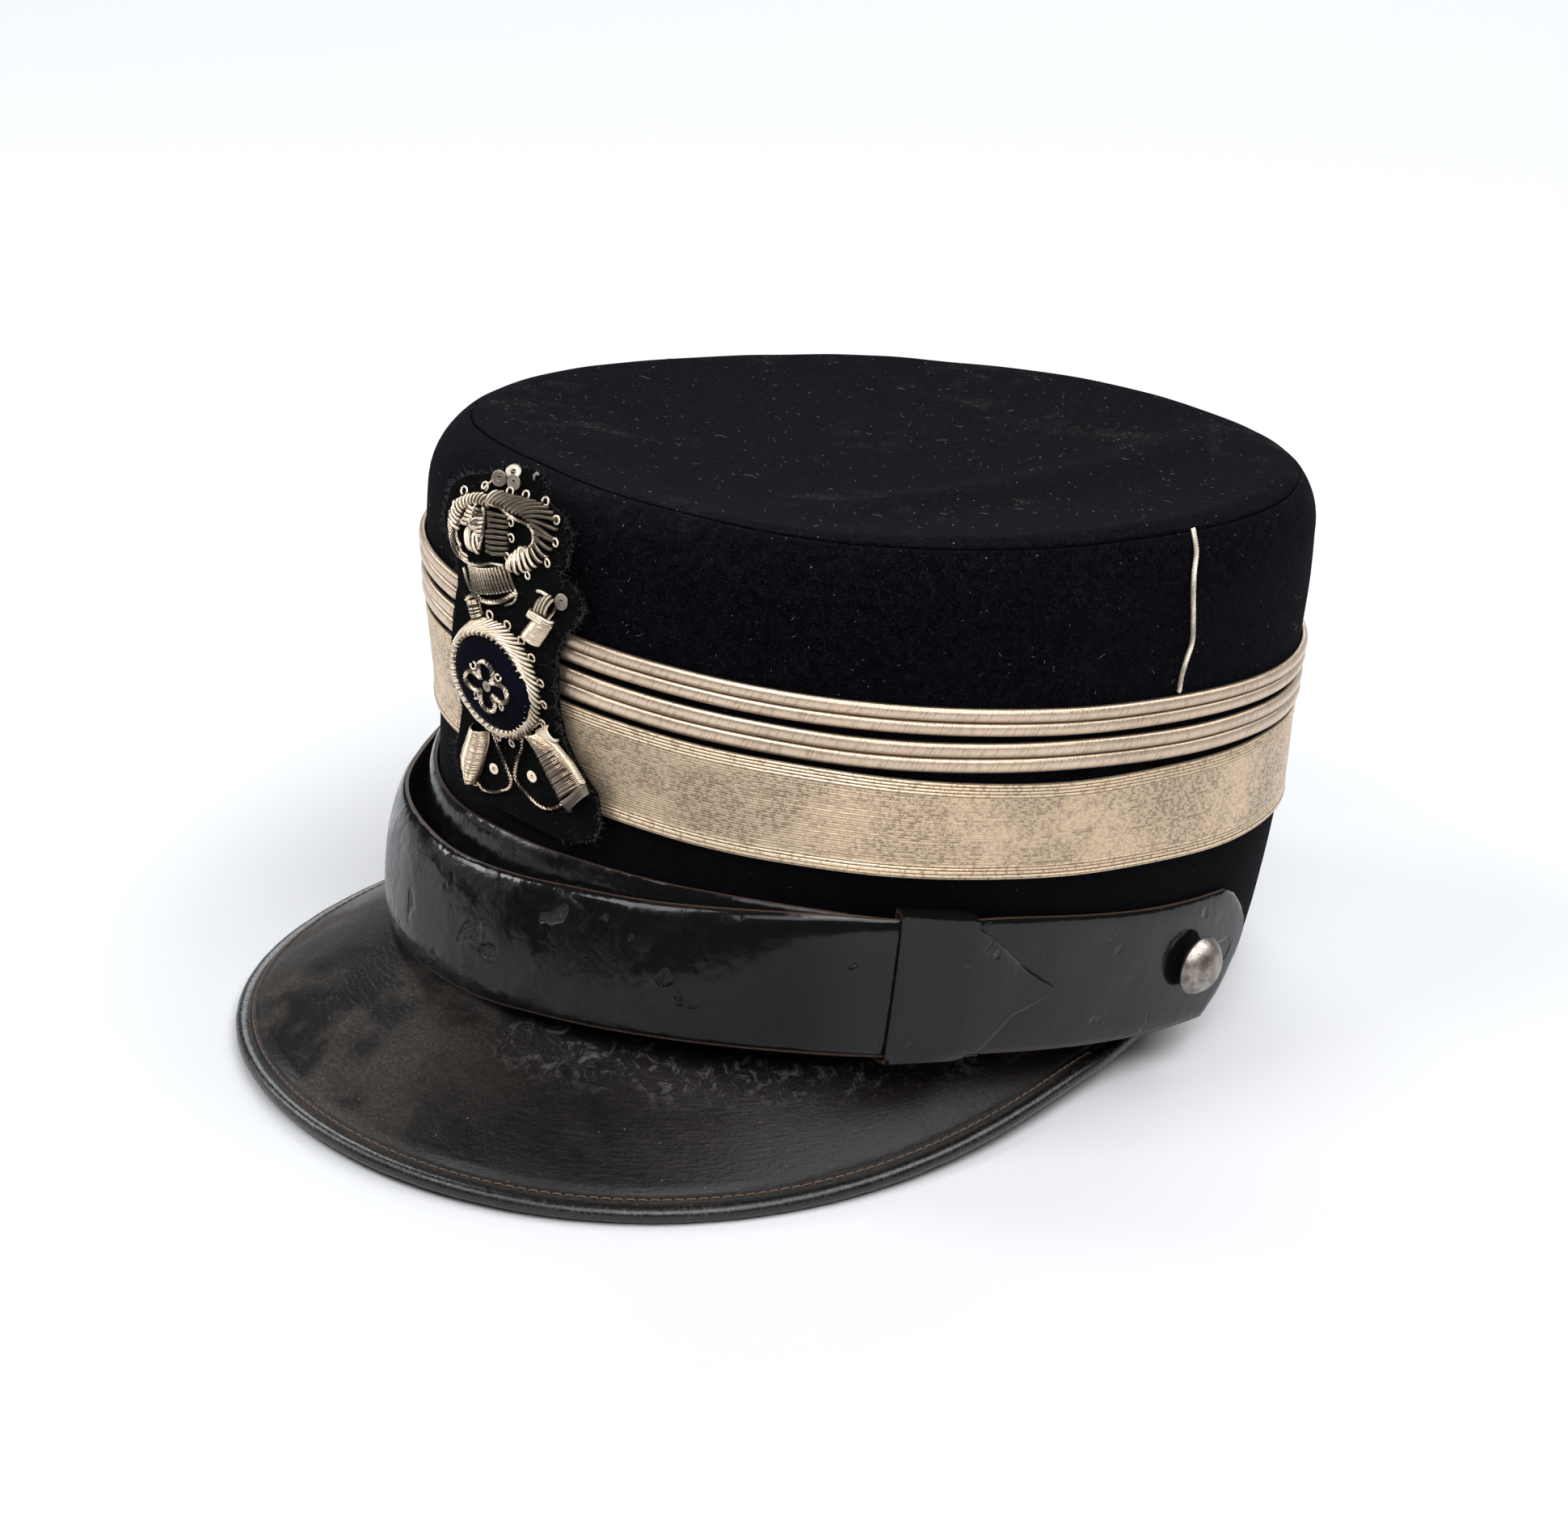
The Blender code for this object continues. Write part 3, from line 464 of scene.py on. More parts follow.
# ---------------------------------------------------------------- materials
class Look:
    """A material and short calls for its nodes. Coordinates are in millimetres."""

    def __init__(self, name):
        self.material = bpy.data.materials.new(name)
        self.material.use_nodes = True
        self.tree = self.material.node_tree
        self.shader = self.tree.nodes["Principled BSDF"]
        place = self.tree.nodes.new("ShaderNodeTexCoord").outputs["Object"]
        self.mm = self.vector("SCALE", place, scale=1000.0)

    def set(self, **values):
        for key, value in values.items():
            socket = self.shader.inputs[key.replace("_", " ")]
            if isinstance(value, bpy.types.NodeSocket):
                self.tree.links.new(value, socket)
            else:
                socket.default_value = value
        return self

    def _put(self, socket, value):
        if isinstance(value, bpy.types.NodeSocket):
            self.tree.links.new(value, socket)
        elif isinstance(value, (tuple, list)) and len(value) == 3 and socket.type == 'RGBA':
            socket.default_value = (*value, 1.0)
        else:
            socket.default_value = value

    def vector(self, op, a, b=None, scale=None):
        n = self.tree.nodes.new("ShaderNodeVectorMath")
        n.operation = op
        self._put(n.inputs[0], a)
        if b is not None:
            self._put(n.inputs[1], b)
        if scale is not None:
            self._put(n.inputs["Scale"], scale)
        return n.outputs[0]

    def math(self, op, a, b=0.0, c=0.0, clamp=False):
        n = self.tree.nodes.new("ShaderNodeMath")
        n.operation = op
        n.use_clamp = clamp
        for socket, value in zip(n.inputs, (a, b, c)):
            self._put(socket, value)
        return n.outputs[0]

    def uv(self):
        n = self.tree.nodes.new("ShaderNodeUVMap")
        n.uv_map = "cloth_mm"
        s = self.tree.nodes.new("ShaderNodeSeparateXYZ")
        self.tree.links.new(n.outputs[0], s.inputs[0])
        return n.outputs[0], s.outputs[0], s.outputs[1]

    def split(self, v):
        s = self.tree.nodes.new("ShaderNodeSeparateXYZ")
        self._put(s.inputs[0], v)
        return s.outputs

    def noise(self, scale, detail=3.0, rough=0.6, at=None, distort=0.0):
        n = self.tree.nodes.new("ShaderNodeTexNoise")
        self._put(n.inputs["Vector"], self.mm if at is None else at)
        n.inputs["Scale"].default_value = scale
        n.inputs["Detail"].default_value = detail
        n.inputs["Roughness"].default_value = rough
        n.inputs["Distortion"].default_value = distort
        return n.outputs[0]

    def cells(self, scale, at=None, feature='F1', randomness=1.0):
        n = self.tree.nodes.new("ShaderNodeTexVoronoi")
        n.feature = feature
        self._put(n.inputs["Vector"], self.mm if at is None else at)
        n.inputs["Scale"].default_value = scale
        n.inputs["Randomness"].default_value = randomness
        return n.outputs

    def ramp(self, fac, low, high, to_low=0.0, to_high=1.0):
        n = self.tree.nodes.new("ShaderNodeMapRange")
        n.interpolation_type = 'SMOOTHSTEP'
        for key, value in (("Value", fac), ("From Min", low), ("From Max", high),
                           ("To Min", to_low), ("To Max", to_high)):
            self._put(n.inputs[key], value)
        return n.outputs[0]

    def mix(self, fac, a, b):
        n = self.tree.nodes.new("ShaderNodeMix")
        n.data_type = 'RGBA'
        self._put(n.inputs[0], fac)
        self._put(n.inputs[6], a)
        self._put(n.inputs[7], b)
        return n.outputs[2]

    def times(self, *values):
        out = values[0]
        for value in values[1:]:
            out = self.math('MULTIPLY', out, value)
        return out

    def plus(self, *values):
        out = values[0]
        for value in values[1:]:
            out = self.math('ADD', out, value)
        return out

    def bump(self, height, distance, strength=1.0, normal=None):
        """distance in mm"""
        n = self.tree.nodes.new("ShaderNodeBump")
        n.inputs["Strength"].default_value = strength
        n.inputs["Distance"].default_value = distance * 0.001
        self._put(n.inputs["Height"], height)
        if normal is not None:
            self._put(n.inputs["Normal"], normal)
        self.tree.links.new(n.outputs[0], self.shader.inputs["Normal"])
        return n.outputs[0]

    def up(self):
        g = self.tree.nodes.new("ShaderNodeNewGeometry")
        return self.split(g.outputs["Normal"])[2]

    def lines(self, coordinate, pitch):
        """0 to 1 ridges along a coordinate"""
        s = self.math('SINE', self.times(coordinate, 2 * math.pi / pitch))
        return self.math('MULTIPLY_ADD', s, 0.5, 0.5)


def wool_look():
    w = Look("wool_cloth")
    fine = w.noise(2.6, 3.0, 0.7)
    nap = w.noise(0.55, 4.0, 0.65)
    broad = w.noise(0.022, 3.0, 0.55)
    mottled = w.noise(0.12, 3.0, 0.6)
    up = w.up()
    cloth = w.mix(w.ramp(nap, 0.3, 0.75), (0.0005, 0.0005, 0.0010), (0.0026, 0.0026, 0.0042))
    cloth = w.mix(w.times(w.ramp(fine, 0.55, 0.73), 0.60), cloth, (0.028, 0.028, 0.035))
    # fine dust lies where the cloth faces up, in patches
    patches = w.times(w.ramp(broad, 0.50, 0.66), w.ramp(mottled, 0.48, 0.62), w.ramp(up, 0.35, 0.9, 0.12, 1.0))
    grains = w.ramp(w.noise(1.5, 3.0, 0.75), 0.50, 0.72)
    dust = w.times(patches, grains, 0.70)
    cloth = w.mix(dust, cloth, (0.105, 0.088, 0.070))
    # lint: small pale specks, fewer on the wall
    spots = w.cells(0.55)
    pick = w.split(spots[1])
    near = w.ramp(spots[0], 0.05, 0.13, 1.0, 0.0)
    few = w.ramp(pick[0], 0.80, 0.83)
    lint = w.times(near, few, w.ramp(up, 0.3, 0.9, 0.35, 0.85))
    cloth = w.mix(lint, cloth, (0.20, 0.18, 0.15))
    w.set(Base_Color=cloth, Roughness=0.92, Sheen_Weight=0.004, Sheen_Roughness=0.45,
          Sheen_Tint=(0.6, 0.68, 1.0, 1.0), Specular_IOR_Level=0.025)
    w.bump(w.plus(w.times(nap, 0.8), w.times(fine, 0.9)), 0.42, 0.7)
    return w.material


def velvet_look(name="band_velvet", deep=(0.0006, 0.0006, 0.0010), light=(0.0020, 0.0020, 0.0030),
                sheen=(0.4, 0.5, 0.9, 1.0), weight=0.004):
    w = Look(name)
    nap = w.noise(0.9, 3.0, 0.6)
    drift = w.noise(0.06, 2.0, 0.5)
    cloth = w.mix(w.ramp(w.plus(w.times(nap, 0.6), w.times(drift, 0.4)), 0.35, 0.7), deep, light)
    spots = w.cells(0.7)
    lint = w.times(w.ramp(spots[0], 0.05, 0.10, 1.0, 0.0), w.ramp(w.split(spots[1])[0], 0.88, 0.90))
    cloth = w.mix(w.times(lint, 0.5), cloth, (0.14, 0.13, 0.12))
    w.set(Base_Color=cloth, Roughness=0.95, Sheen_Weight=weight, Sheen_Roughness=0.3,
          Sheen_Tint=sheen, Specular_IOR_Level=0.05)
    w.bump(nap, 0.25, 0.5)
    return w.material


def felt_look():
    w = Look("badge_felt")
    fine = w.noise(1.9, 4.0, 0.75)
    clumps = w.noise(0.35, 3.0, 0.6)
    cloth = w.mix(w.ramp(fine, 0.45, 0.8), (0.0007, 0.0007, 0.0009), (0.0042, 0.0040, 0.0043))
    cloth = w.mix(w.times(w.ramp(clumps, 0.55, 0.75), 0.35), cloth, (0.0095, 0.0088, 0.0085))
    w.set(Base_Color=cloth, Roughness=0.97, Sheen_Weight=0.012, Sheen_Roughness=0.5, Specular_IOR_Level=0.03)
    w.bump(w.plus(fine, w.times(clumps, 0.6)), 0.5, 0.7)
    return w.material


def lace_look():
    """Flat woven wire lace: fine threads round the cap, dulled in spots."""
    w = Look("woven_lace")
    uv, u, v = w.uv()
    row = w.math('FLOOR', w.math('DIVIDE', v, 0.58))
    threads = w.lines(v, 0.58)
    stitch = w.lines(w.plus(u, w.times(row, 0.43)), 0.86)
    comb = w.tree.nodes.new("ShaderNodeCombineXYZ")
    w._put(comb.inputs[0], w.times(u, 0.75))
    w._put(comb.inputs[1], w.times(row, 1.9))
    dash = w.noise(1.0, 2.0, 0.7, at=comb.outputs[0])
    blot = w.noise(0.060, 3.0, 0.6)
    spot = w.noise(0.28, 3.0, 0.65)
    worn = w.ramp(w.plus(w.times(blot, 0.75), w.times(spot, 0.38)), 0.42, 0.64)
    dark = w.times(w.ramp(dash, 0.44, 0.58), w.ramp(threads, 0.10, 0.65), w.plus(0.42, w.times(worn, 0.58)))
    # the selvedges have no weave of their own
    field = w.times(w.ramp(v, LACE_LOW + 2.9, LACE_LOW + 3.4), w.ramp(v, LACE_HIGH - 3.5, LACE_HIGH - 3.0, 1.0, 0.0))
    gold = w.mix(w.ramp(w.noise(0.03, 2.0, 0.5), 0.35, 0.65), (0.86, 0.66, 0.46), (0.76, 0.60, 0.43))
    # painted shade in the grooves between the woven threads of the field
    gold = w.mix(w.times(w.ramp(threads, 0.0, 0.4, 1.0, 0.0), field, 0.55), gold, (0.30, 0.21, 0.14))
    gold = w.mix(w.times(w.ramp(worn, 0.2, 1.0), field, 0.30), gold, (0.44, 0.34, 0.24))
    gold = w.mix(w.times(dark, field, 0.74), gold, (0.082, 0.052, 0.032))
    # painted shade in the grooves between the ribs of the selvedges
    ribs = w.lines(w.plus(v, 0.19), 0.75)
    bare = w.math('SUBTRACT', 1.0, field)
    gold = w.mix(w.times(w.ramp(ribs, 0.05, 0.50, 1.0, 0.0), bare, 0.85), gold, (0.13, 0.088, 0.055))
    gold = w.mix(w.times(w.ramp(dash, 0.50, 0.62), bare, 0.5), gold, (0.12, 0.085, 0.06))
    w.set(Base_Color=gold, Metallic=0.70, Roughness=w.ramp(dash, 0.3, 0.8, 0.38, 0.56))
    w.bump(w.plus(w.times(threads, field), w.times(stitch, field, 0.5), w.times(spot, 0.8)), 0.11, 0.8)
    return w.material


def braid_look():
    """Wound cords: fine threads slanting across each ridge."""
    w = Look("wound_braid")
    uv, u, v = w.uv()
    wobble = w.noise(0.35, 2.0, 0.5)
    slant = w.plus(u, w.times(v, -0.50), w.times(wobble, 0.15))
    threads = w.lines(slant, 0.38)
    comb = w.tree.nodes.new("ShaderNodeCombineXYZ")
    w._put(comb.inputs[0], slant)
    w._put(comb.inputs[1], w.times(v, 0.12))
    loose = w.noise(2.1, 2.0, 0.7, at=comb.outputs[0])
    strip = w.noise(0.6, 2.0, 0.7, at=comb.outputs[0])
    tone = w.noise(0.035, 2.0, 0.55)
    gold = w.mix(w.ramp(tone, 0.35, 0.65), (0.80, 0.62, 0.46), (0.70, 0.55, 0.41))
    # painted shade between the wound threads
    gold = w.mix(w.times(w.ramp(threads, 0.0, 0.45, 1.0, 0.0), 0.35), gold, (0.26, 0.17, 0.12))
    gold = w.mix(w.times(w.ramp(loose, 0.50, 0.66), 0.50), gold, (0.22, 0.15, 0.10))
    gold = w.mix(w.times(w.ramp(strip, 0.55, 0.75), 0.30), gold, (0.26, 0.18, 0.12))
    # painted shade in the valley between the ridges and under each ridge
    ridge = w.math('FRACT', w.math('DIVIDE', v, 4.6))
    gold = w.mix(w.ramp(ridge, 0.40, 0.10, 0.0, 0.80), gold, (0.13, 0.082, 0.052))
    gold = w.mix(w.ramp(ridge, 0.84, 0.97, 0.0, 0.70), gold, (0.13, 0.082, 0.052))
    w.set(Base_Color=gold, Metallic=0.88, Roughness=0.30)
    w.bump(w.plus(w.times(threads, 0.5), w.times(loose, 0.6)), 0.10, 0.8)
    return w.material


def wire_look(name="bullion_wire", light=(0.98, 0.83, 0.65), dull=(0.70, 0.56, 0.42), pitch=0.36, rough=0.25, depth=1.0,
              groove=0.90, metallic=0.80):
    """Coiled wire of the embroidery: ridges round each strand, with painted shade in the coil grooves and on the
    underside of each strand, where strands meet.
    """
    w = Look(name)
    uv, u, v = w.uv()
    coil = w.lines(w.plus(u, w.times(v, pitch)), pitch)
    tone = w.noise(0.22, 3.0, 0.6)
    fine = w.noise(1.8, 3.0, 0.7)
    metal = w.mix(w.ramp(tone, 0.45, 0.72), light, dull)
    # painted shade in the grooves between the turns of the coil
    metal = w.mix(w.times(w.ramp(coil, 0.0, 0.35, 1.0, 0.0), 0.45 * depth), metal, (0.12, 0.09, 0.06))
    metal = w.mix(w.times(w.ramp(fine, 0.58, 0.8), 0.4), metal, (0.12, 0.09, 0.06))
    # painted shade on the underside of each strand, towards the pad and its neighbours; groove sets how dark
    side = w.math('ABSOLUTE', w.math('SUBTRACT', v, 0.5))
    metal = w.mix(w.ramp(side, 0.18, 0.33, groove, 0.0), metal, (0.020, 0.014, 0.009))
    w.set(Base_Color=metal, Metallic=metallic, Roughness=rough)
    w.bump(w.plus(w.times(coil, depth), w.times(fine, 0.4)), 0.08, 0.7)
    return w.material


def patent_look():
    w = Look("patent_leather")
    uv, u, v = w.uv()
    x, y, z = w.split(w.mm)
    broad = w.noise(0.055, 3.0, 0.55)
    small = w.noise(0.45, 4.0, 0.65)
    scuff = w.noise(0.10, 4.0, 0.7, distort=0.6)
    mark = w.times(w.ramp(scuff, 0.64, 0.70), w.ramp(small, 0.44, 0.60))
    # the varnish is crazed near the buttons
    cracks = w.cells(0.20, at=uv, feature='DISTANCE_TO_EDGE')[0]
    old = w.ramp(w.math('ABSOLUTE', x), 87.0, 92.0)
    line = w.times(w.ramp(cracks, 0.0, 0.035, 1.0, 0.0), old, w.ramp(w.noise(0.16, 2.0, 0.5), 0.46, 0.58))
    tint = w.mix(w.times(mark, 0.8), (0.0040, 0.0038, 0.0040), (0.022, 0.020, 0.019))
    tint = w.mix(w.times(line, 0.7), tint, (0.020, 0.013, 0.009))
    tint = w.mix(w.times(w.ramp(w.noise(1.2, 3.0, 0.7), 0.66, 0.72), 0.35), tint, (0.035, 0.032, 0.03))
    # rubbed and puckered at the front
    front = w.ramp(w.times(y, -1.0), 52.0, 78.0)
    pucker = w.noise(0.30, 4.0, 0.65, distort=0.8)
    patchy = w.ramp(w.noise(0.07, 3.0, 0.6), 0.42, 0.60)
    tint = w.mix(w.times(front, w.ramp(pucker, 0.48, 0.70), 0.5), tint, (0.014, 0.013, 0.014))
    rough = w.plus(w.ramp(broad, 0.35, 0.7, 0.05, 0.12), w.times(mark, 0.30), w.times(small, 0.05), w.times(old, 0.10),
                   w.times(front, patchy, 0.16))
    dents = w.times(w.ramp(w.noise(0.085, 2.0, 0.5, at=w.vector('ADD', w.mm, (31.0, 7.0, 3.0))), 0.66, 0.72),
                    w.noise(0.9, 3.0, 0.7, distort=1.0))
    # the varnish is duller towards the front
    w.set(Base_Color=tint, Roughness=rough, Specular_IOR_Level=w.ramp(w.times(y, -1.0), 36.0, 52.0, 0.31, 0.20))
    w.bump(w.plus(w.times(broad, 3.4), w.times(small, 0.22), w.times(mark, -0.8), w.times(line, -0.5),
                  w.times(front, pucker, patchy, 1.5), w.times(dents, -4.0)), 0.22, 0.75)
    return w.material


def edge_look():
    w = Look("leather_edge")
    fine = w.noise(1.4, 3.0, 0.7)
    w.set(Base_Color=w.mix(w.ramp(fine, 0.35, 0.7), (0.022, 0.012, 0.008), (0.070, 0.036, 0.022)),
          Roughness=0.62)
    w.bump(fine, 0.2, 0.6)
    return w.material


def hide_look():
    w = Look("leather_inside")
    fine = w.noise(0.9, 4.0, 0.7)
    broad = w.noise(0.05, 3.0, 0.6)
    tint = w.mix(w.ramp(broad, 0.35, 0.7), (0.022, 0.013, 0.009), (0.048, 0.029, 0.019))
    tint = w.mix(w.times(w.ramp(fine, 0.5, 0.8), 0.4), tint, (0.07, 0.045, 0.03))
    w.set(Base_Color=tint, Roughness=0.72)
    w.bump(fine, 0.22, 0.6)
    return w.material


def peak_look():
    """Black leather, dulled with brown dust, with fine grain along its length."""
    w = Look("peak_leather")
    uv, u, v = w.uv()
    x, y, z = w.split(w.mm)
    grain = w.cells(1.15, feature='SMOOTH_F1')[0]
    fine = w.noise(1.6, 4.0, 0.7)
    broad = w.noise(0.020, 4.0, 0.6, distort=0.5)
    patch = w.noise(0.06, 4.0, 0.65)
    comb = w.tree.nodes.new("ShaderNodeCombineXYZ")
    w._put(comb.inputs[0], w.times(u, 0.25))
    w._put(comb.inputs[1], w.times(v, 1.8))
    streak = w.noise(0.8, 3.0, 0.65, at=comb.outputs[0])
    # dust gathers at the front and towards the wearer's right
    side = w.ramp(w.plus(w.times(x, -0.014), w.times(y, -0.004)), -0.15, 0.75)
    dusty = w.times(w.ramp(w.plus(w.times(broad, 0.6), w.times(patch, 0.5)), 0.48, 0.64), w.plus(w.times(side, 0.85), 0.15))
    powder = w.times(dusty, w.ramp(w.noise(1.3, 4.0, 0.85), 0.44, 0.62, 0.12, 1.0))
    tint = w.mix(w.ramp(fine, 0.4, 0.75), (0.0022, 0.0020, 0.0021), (0.0062, 0.0056, 0.0055))
    tint = w.mix(w.times(powder, 0.68), tint, (0.082, 0.055, 0.037))
    tint = w.mix(w.times(w.ramp(streak, 0.56, 0.74), 0.35), tint, (0.030, 0.023, 0.019))
    specks = w.cells(0.45)
    tint = w.mix(w.times(w.ramp(specks[0], 0.06, 0.12, 1.0, 0.0), w.ramp(w.split(specks[1])[1], 0.84, 0.86), 0.7),
                 tint, (0.15, 0.105, 0.07))
    # creased and scuffed beside the strap on the wearer's left
    bent = w.times(w.ramp(x, 8.0, 30.0), w.ramp(v, 37.0, 50.0))
    crease = w.noise(0.20, 5.0, 0.78, distort=1.6)
    tint = w.mix(w.times(bent, w.ramp(crease, 0.53, 0.62), 0.60), tint, (0.120, 0.112, 0.110))
    rough = w.plus(0.20, w.times(dusty, 0.25), w.times(patch, 0.12), w.times(streak, 0.14), w.times(bent, 0.08))
    w.set(Base_Color=tint, Roughness=rough, Specular_IOR_Level=0.20)
    w.bump(w.plus(w.times(grain, 0.30), w.times(fine, 0.35), w.times(streak, 0.60), w.times(patch, 1.4),
                  w.times(bent, crease, 2.4)), 0.26, 0.65)
    return w.material


def binding_look():
    w = Look("peak_binding_leather")
    fine = w.noise(1.1, 4.0, 0.7)
    broad = w.noise(0.08, 3.0, 0.6)
    tint = w.mix(w.times(w.ramp(fine, 0.5, 0.8), w.ramp(broad, 0.4, 0.6)), (0.0055, 0.0052, 0.005), (0.055, 0.036, 0.026))
    w.set(Base_Color=tint, Roughness=w.ramp(fine, 0.3, 0.8, 0.20, 0.42))
    w.bump(w.plus(fine, w.times(broad, 2.0)), 0.2, 0.6)
    return w.material


def under_look():
    w = Look("peak_underside")
    grain = w.cells(1.3, feature='SMOOTH_F1')[0]
    broad = w.noise(0.05, 3.0, 0.6)
    tint = w.mix(w.ramp(broad, 0.35, 0.7), (0.016, 0.012, 0.010), (0.030, 0.023, 0.018))
    w.set(Base_Color=tint, Roughness=0.55)
    w.bump(grain, 0.2, 0.5)
    return w.material


def pewter_look():
    w = Look("pewter")
    fine = w.noise(1.5, 4.0, 0.7)
    broad = w.noise(0.30, 3.0, 0.6)
    metal = w.mix(w.ramp(broad, 0.35, 0.65), (0.38, 0.345, 0.315), (0.18, 0.148, 0.125))
    metal = w.mix(w.times(w.ramp(fine, 0.5, 0.75), 0.5), metal, (0.055, 0.036, 0.026))
    w.set(Base_Color=metal, Metallic=0.92, Roughness=w.ramp(fine, 0.3, 0.8, 0.30, 0.52))
    w.bump(fine, 0.12, 0.6)
    return w.material


def cotton_look():
    w = Look("inside_cotton")
    x, y, z = w.split(w.mm)
    weave = w.times(w.lines(z, 0.7), w.lines(w.plus(x, y), 0.7))
    broad = w.noise(0.04, 3.0, 0.6)
    tint = w.mix(w.ramp(broad, 0.35, 0.7), (0.020, 0.019, 0.020), (0.034, 0.032, 0.031))
    w.set(Base_Color=tint, Roughness=0.9, Sheen_Weight=0.1)
    w.bump(w.plus(weave, w.times(w.noise(1.2), 0.5)), 0.15, 0.6)
    return w.material


def red_look():
    w = Look("red_cloth")
    fine = w.noise(1.8, 4.0, 0.7)
    tint = w.mix(w.ramp(fine, 0.35, 0.7), (0.28, 0.010, 0.014), (0.50, 0.022, 0.028))
    w.set(Base_Color=tint, Roughness=0.9, Sheen_Weight=0.15)
    w.bump(fine, 0.2, 0.6)
    return w.material


def lint_look():
    w = Look("lint")
    w.set(Base_Color=w.mix(w.noise(0.2), (0.13, 0.11, 0.09), (0.34, 0.31, 0.27)), Roughness=0.9)
    return w.material


def fuzz_look():
    w = Look("felt_fuzz")
    w.set(Base_Color=w.mix(w.noise(0.4), (0.010, 0.010, 0.012), (0.06, 0.058, 0.058)), Roughness=0.95)
    return w.material


def thread_look():
    w = Look("brown_thread")
    w.set(Base_Color=w.mix(w.noise(1.0), (0.055, 0.030, 0.018), (0.12, 0.07, 0.045)), Roughness=0.8)
    return w.material


wool, velvet, felt = wool_look(), velvet_look(), felt_look()
disc_velvet = velvet_look("disc_velvet", (0.0006, 0.0007, 0.0022), (0.002, 0.0024, 0.0075), (0.3, 0.4, 1.0, 1.0), 0.02)
lace, braid, wire = lace_look(), braid_look(), wire_look()
# satin and cord wire carry the same painted shade under each strand, at the strength given after the coil depth
satin = wire_look("satin_wire", (0.86, 0.68, 0.50), (0.60, 0.46, 0.33), 1.3, 0.27, 0.0, 0.95, 0.92)
cord_wire = wire_look("cord_wire", (0.84, 0.76, 0.60), (0.62, 0.54, 0.41), 0.4, 0.36, 0.5, 0.45, 0.45)
sequin_metal = wire_look("sequin_metal", (0.30, 0.26, 0.21), (0.17, 0.14, 0.11), 3.0, 0.34, 0.0)
patent, edge, hide = patent_look(), edge_look(), hide_look()
peak_top, peak_under, peak_roll = peak_look(), under_look(), binding_look()
pewter, cotton, red = pewter_look(), cotton_look(), red_look()
lint, fuzz, brown_thread = lint_look(), fuzz_look(), thread_look()

# ------------------------------------------------------------------ the crown
AROUND = 288
TURNS = [-180.0 + 360.0 * k / AROUND for k in range(AROUND)]
WALL = 2.4


def soft(p, amount, seed):
    return amount * (wave(p, 34.0, seed) + 0.45 * wave(p, 15.0, seed + 4.0))


def wall_row(height_of, out_of, amount=0.0):
    row = []
    for phi in TURNS:
        h = height_of(phi)
        p = crown(phi, h, out_of(phi, h))
        if amount:
            n = outward(phi, h)
            p = p + n * soft(p, amount, 2.0)
        row.append(p)
    return row


def seam_angle(phi):
    """The seam lies nearer the crest over the peak."""
    return SEAM_ANGLE + SEAM_RISE * math.exp(-((phi - 2.0) / 38.0) ** 2)


def shoulder_row(angle, out, amount, seed=2.0):
    row = []
    for phi in TURNS:
        seam = seam_angle(phi)
        if angle < SEAM_ANGLE:
            turned = angle * seam / SEAM_ANGLE
        else:
            turned = 90 - (90 - angle) * (90 - seam) / (90 - SEAM_ANGLE)
        p = shoulder(phi, turned, out)
        f = math.radians(turned)
        n = outward(phi, 100.0) * math.cos(f) + np.array((0, 0, 1.0)) * math.sin(f)
        row.append(p + n * soft(p, amount, seed))
    return row


side_rows, side_kind = [], []
for h in (0.0, 0.8, 2.0, 6.0, 11.0, 16.0, 22.0, 28.0, 34.0, 40.0, 46.0, 52.0, 58.0, 64.0, 68.9, 70.5, 73.5, 77.4, 80.0, 83.6):
    tuck = -0.5 if h == 0.0 else 0.0
    side_rows.append(wall_row(lambda phi: h, lambda phi, hh: tuck))
    side_kind.append(1 if h < 46.0 else 0)
for k in range(1, 15):
    t = k / 15
    side_rows.append(wall_row(lambda phi: 83.6 + t * (crest_height(phi) - SHOULDER_DROP - 83.6),
                              lambda phi, hh: 0.0, 0.42 * min(t * 2, 1)))
    side_kind.append(0)
SEAM = ((0.0, 0.0), (7.0, 0.0), (14.0, 0.0), (21.0, 0.0), (28.0, 0.0), (34.0, 0.0), (40.0, 0.0), (45.0, 0.05),
        (50.0, 0.1), (54.0, 0.18), (57.0, 0.22), (59.0, 0.16), (60.3, -0.05), (61.1, -0.45), (61.5, -1.0))
for angle, out in SEAM:
    side_rows.append(shoulder_row(angle, out, 0.42))
    side_kind.append(0)
for angle in (61.3, 46.0, 24.0, 2.0):
    side_rows.append([shoulder(phi, angle * (seam_angle(phi) - 1.0) / (SEAM_ANGLE - 1.0), -WALL) for phi in TURNS])
    side_kind.append(2)
for t in (0.66, 0.33, 0.0):
    side_rows.append([crown(phi, 83.6 + t * (crest_height(phi) - SHOULDER_DROP - 83.6), -WALL) for phi in TURNS])
    side_kind.append(2)
for h in (70.0, 57.0, 45.0, 33.0, 20.0, 10.0, 3.0, 0.0):
    side_rows.append([crown(phi, h, -WALL) for phi in TURNS])
    side_kind.append(2)
side_kind[-1] = 1
side_rows = np.array(side_rows)
soup = Soup()
soup.grid(side_rows, arc_uv(side_rows, np.arange(len(side_rows), dtype=float)), around=True, closed=True,
          kind=np.array(side_kind))
soup.make("cloth_wall", [wool, velvet, cotton], "crown_side", sharp=None)

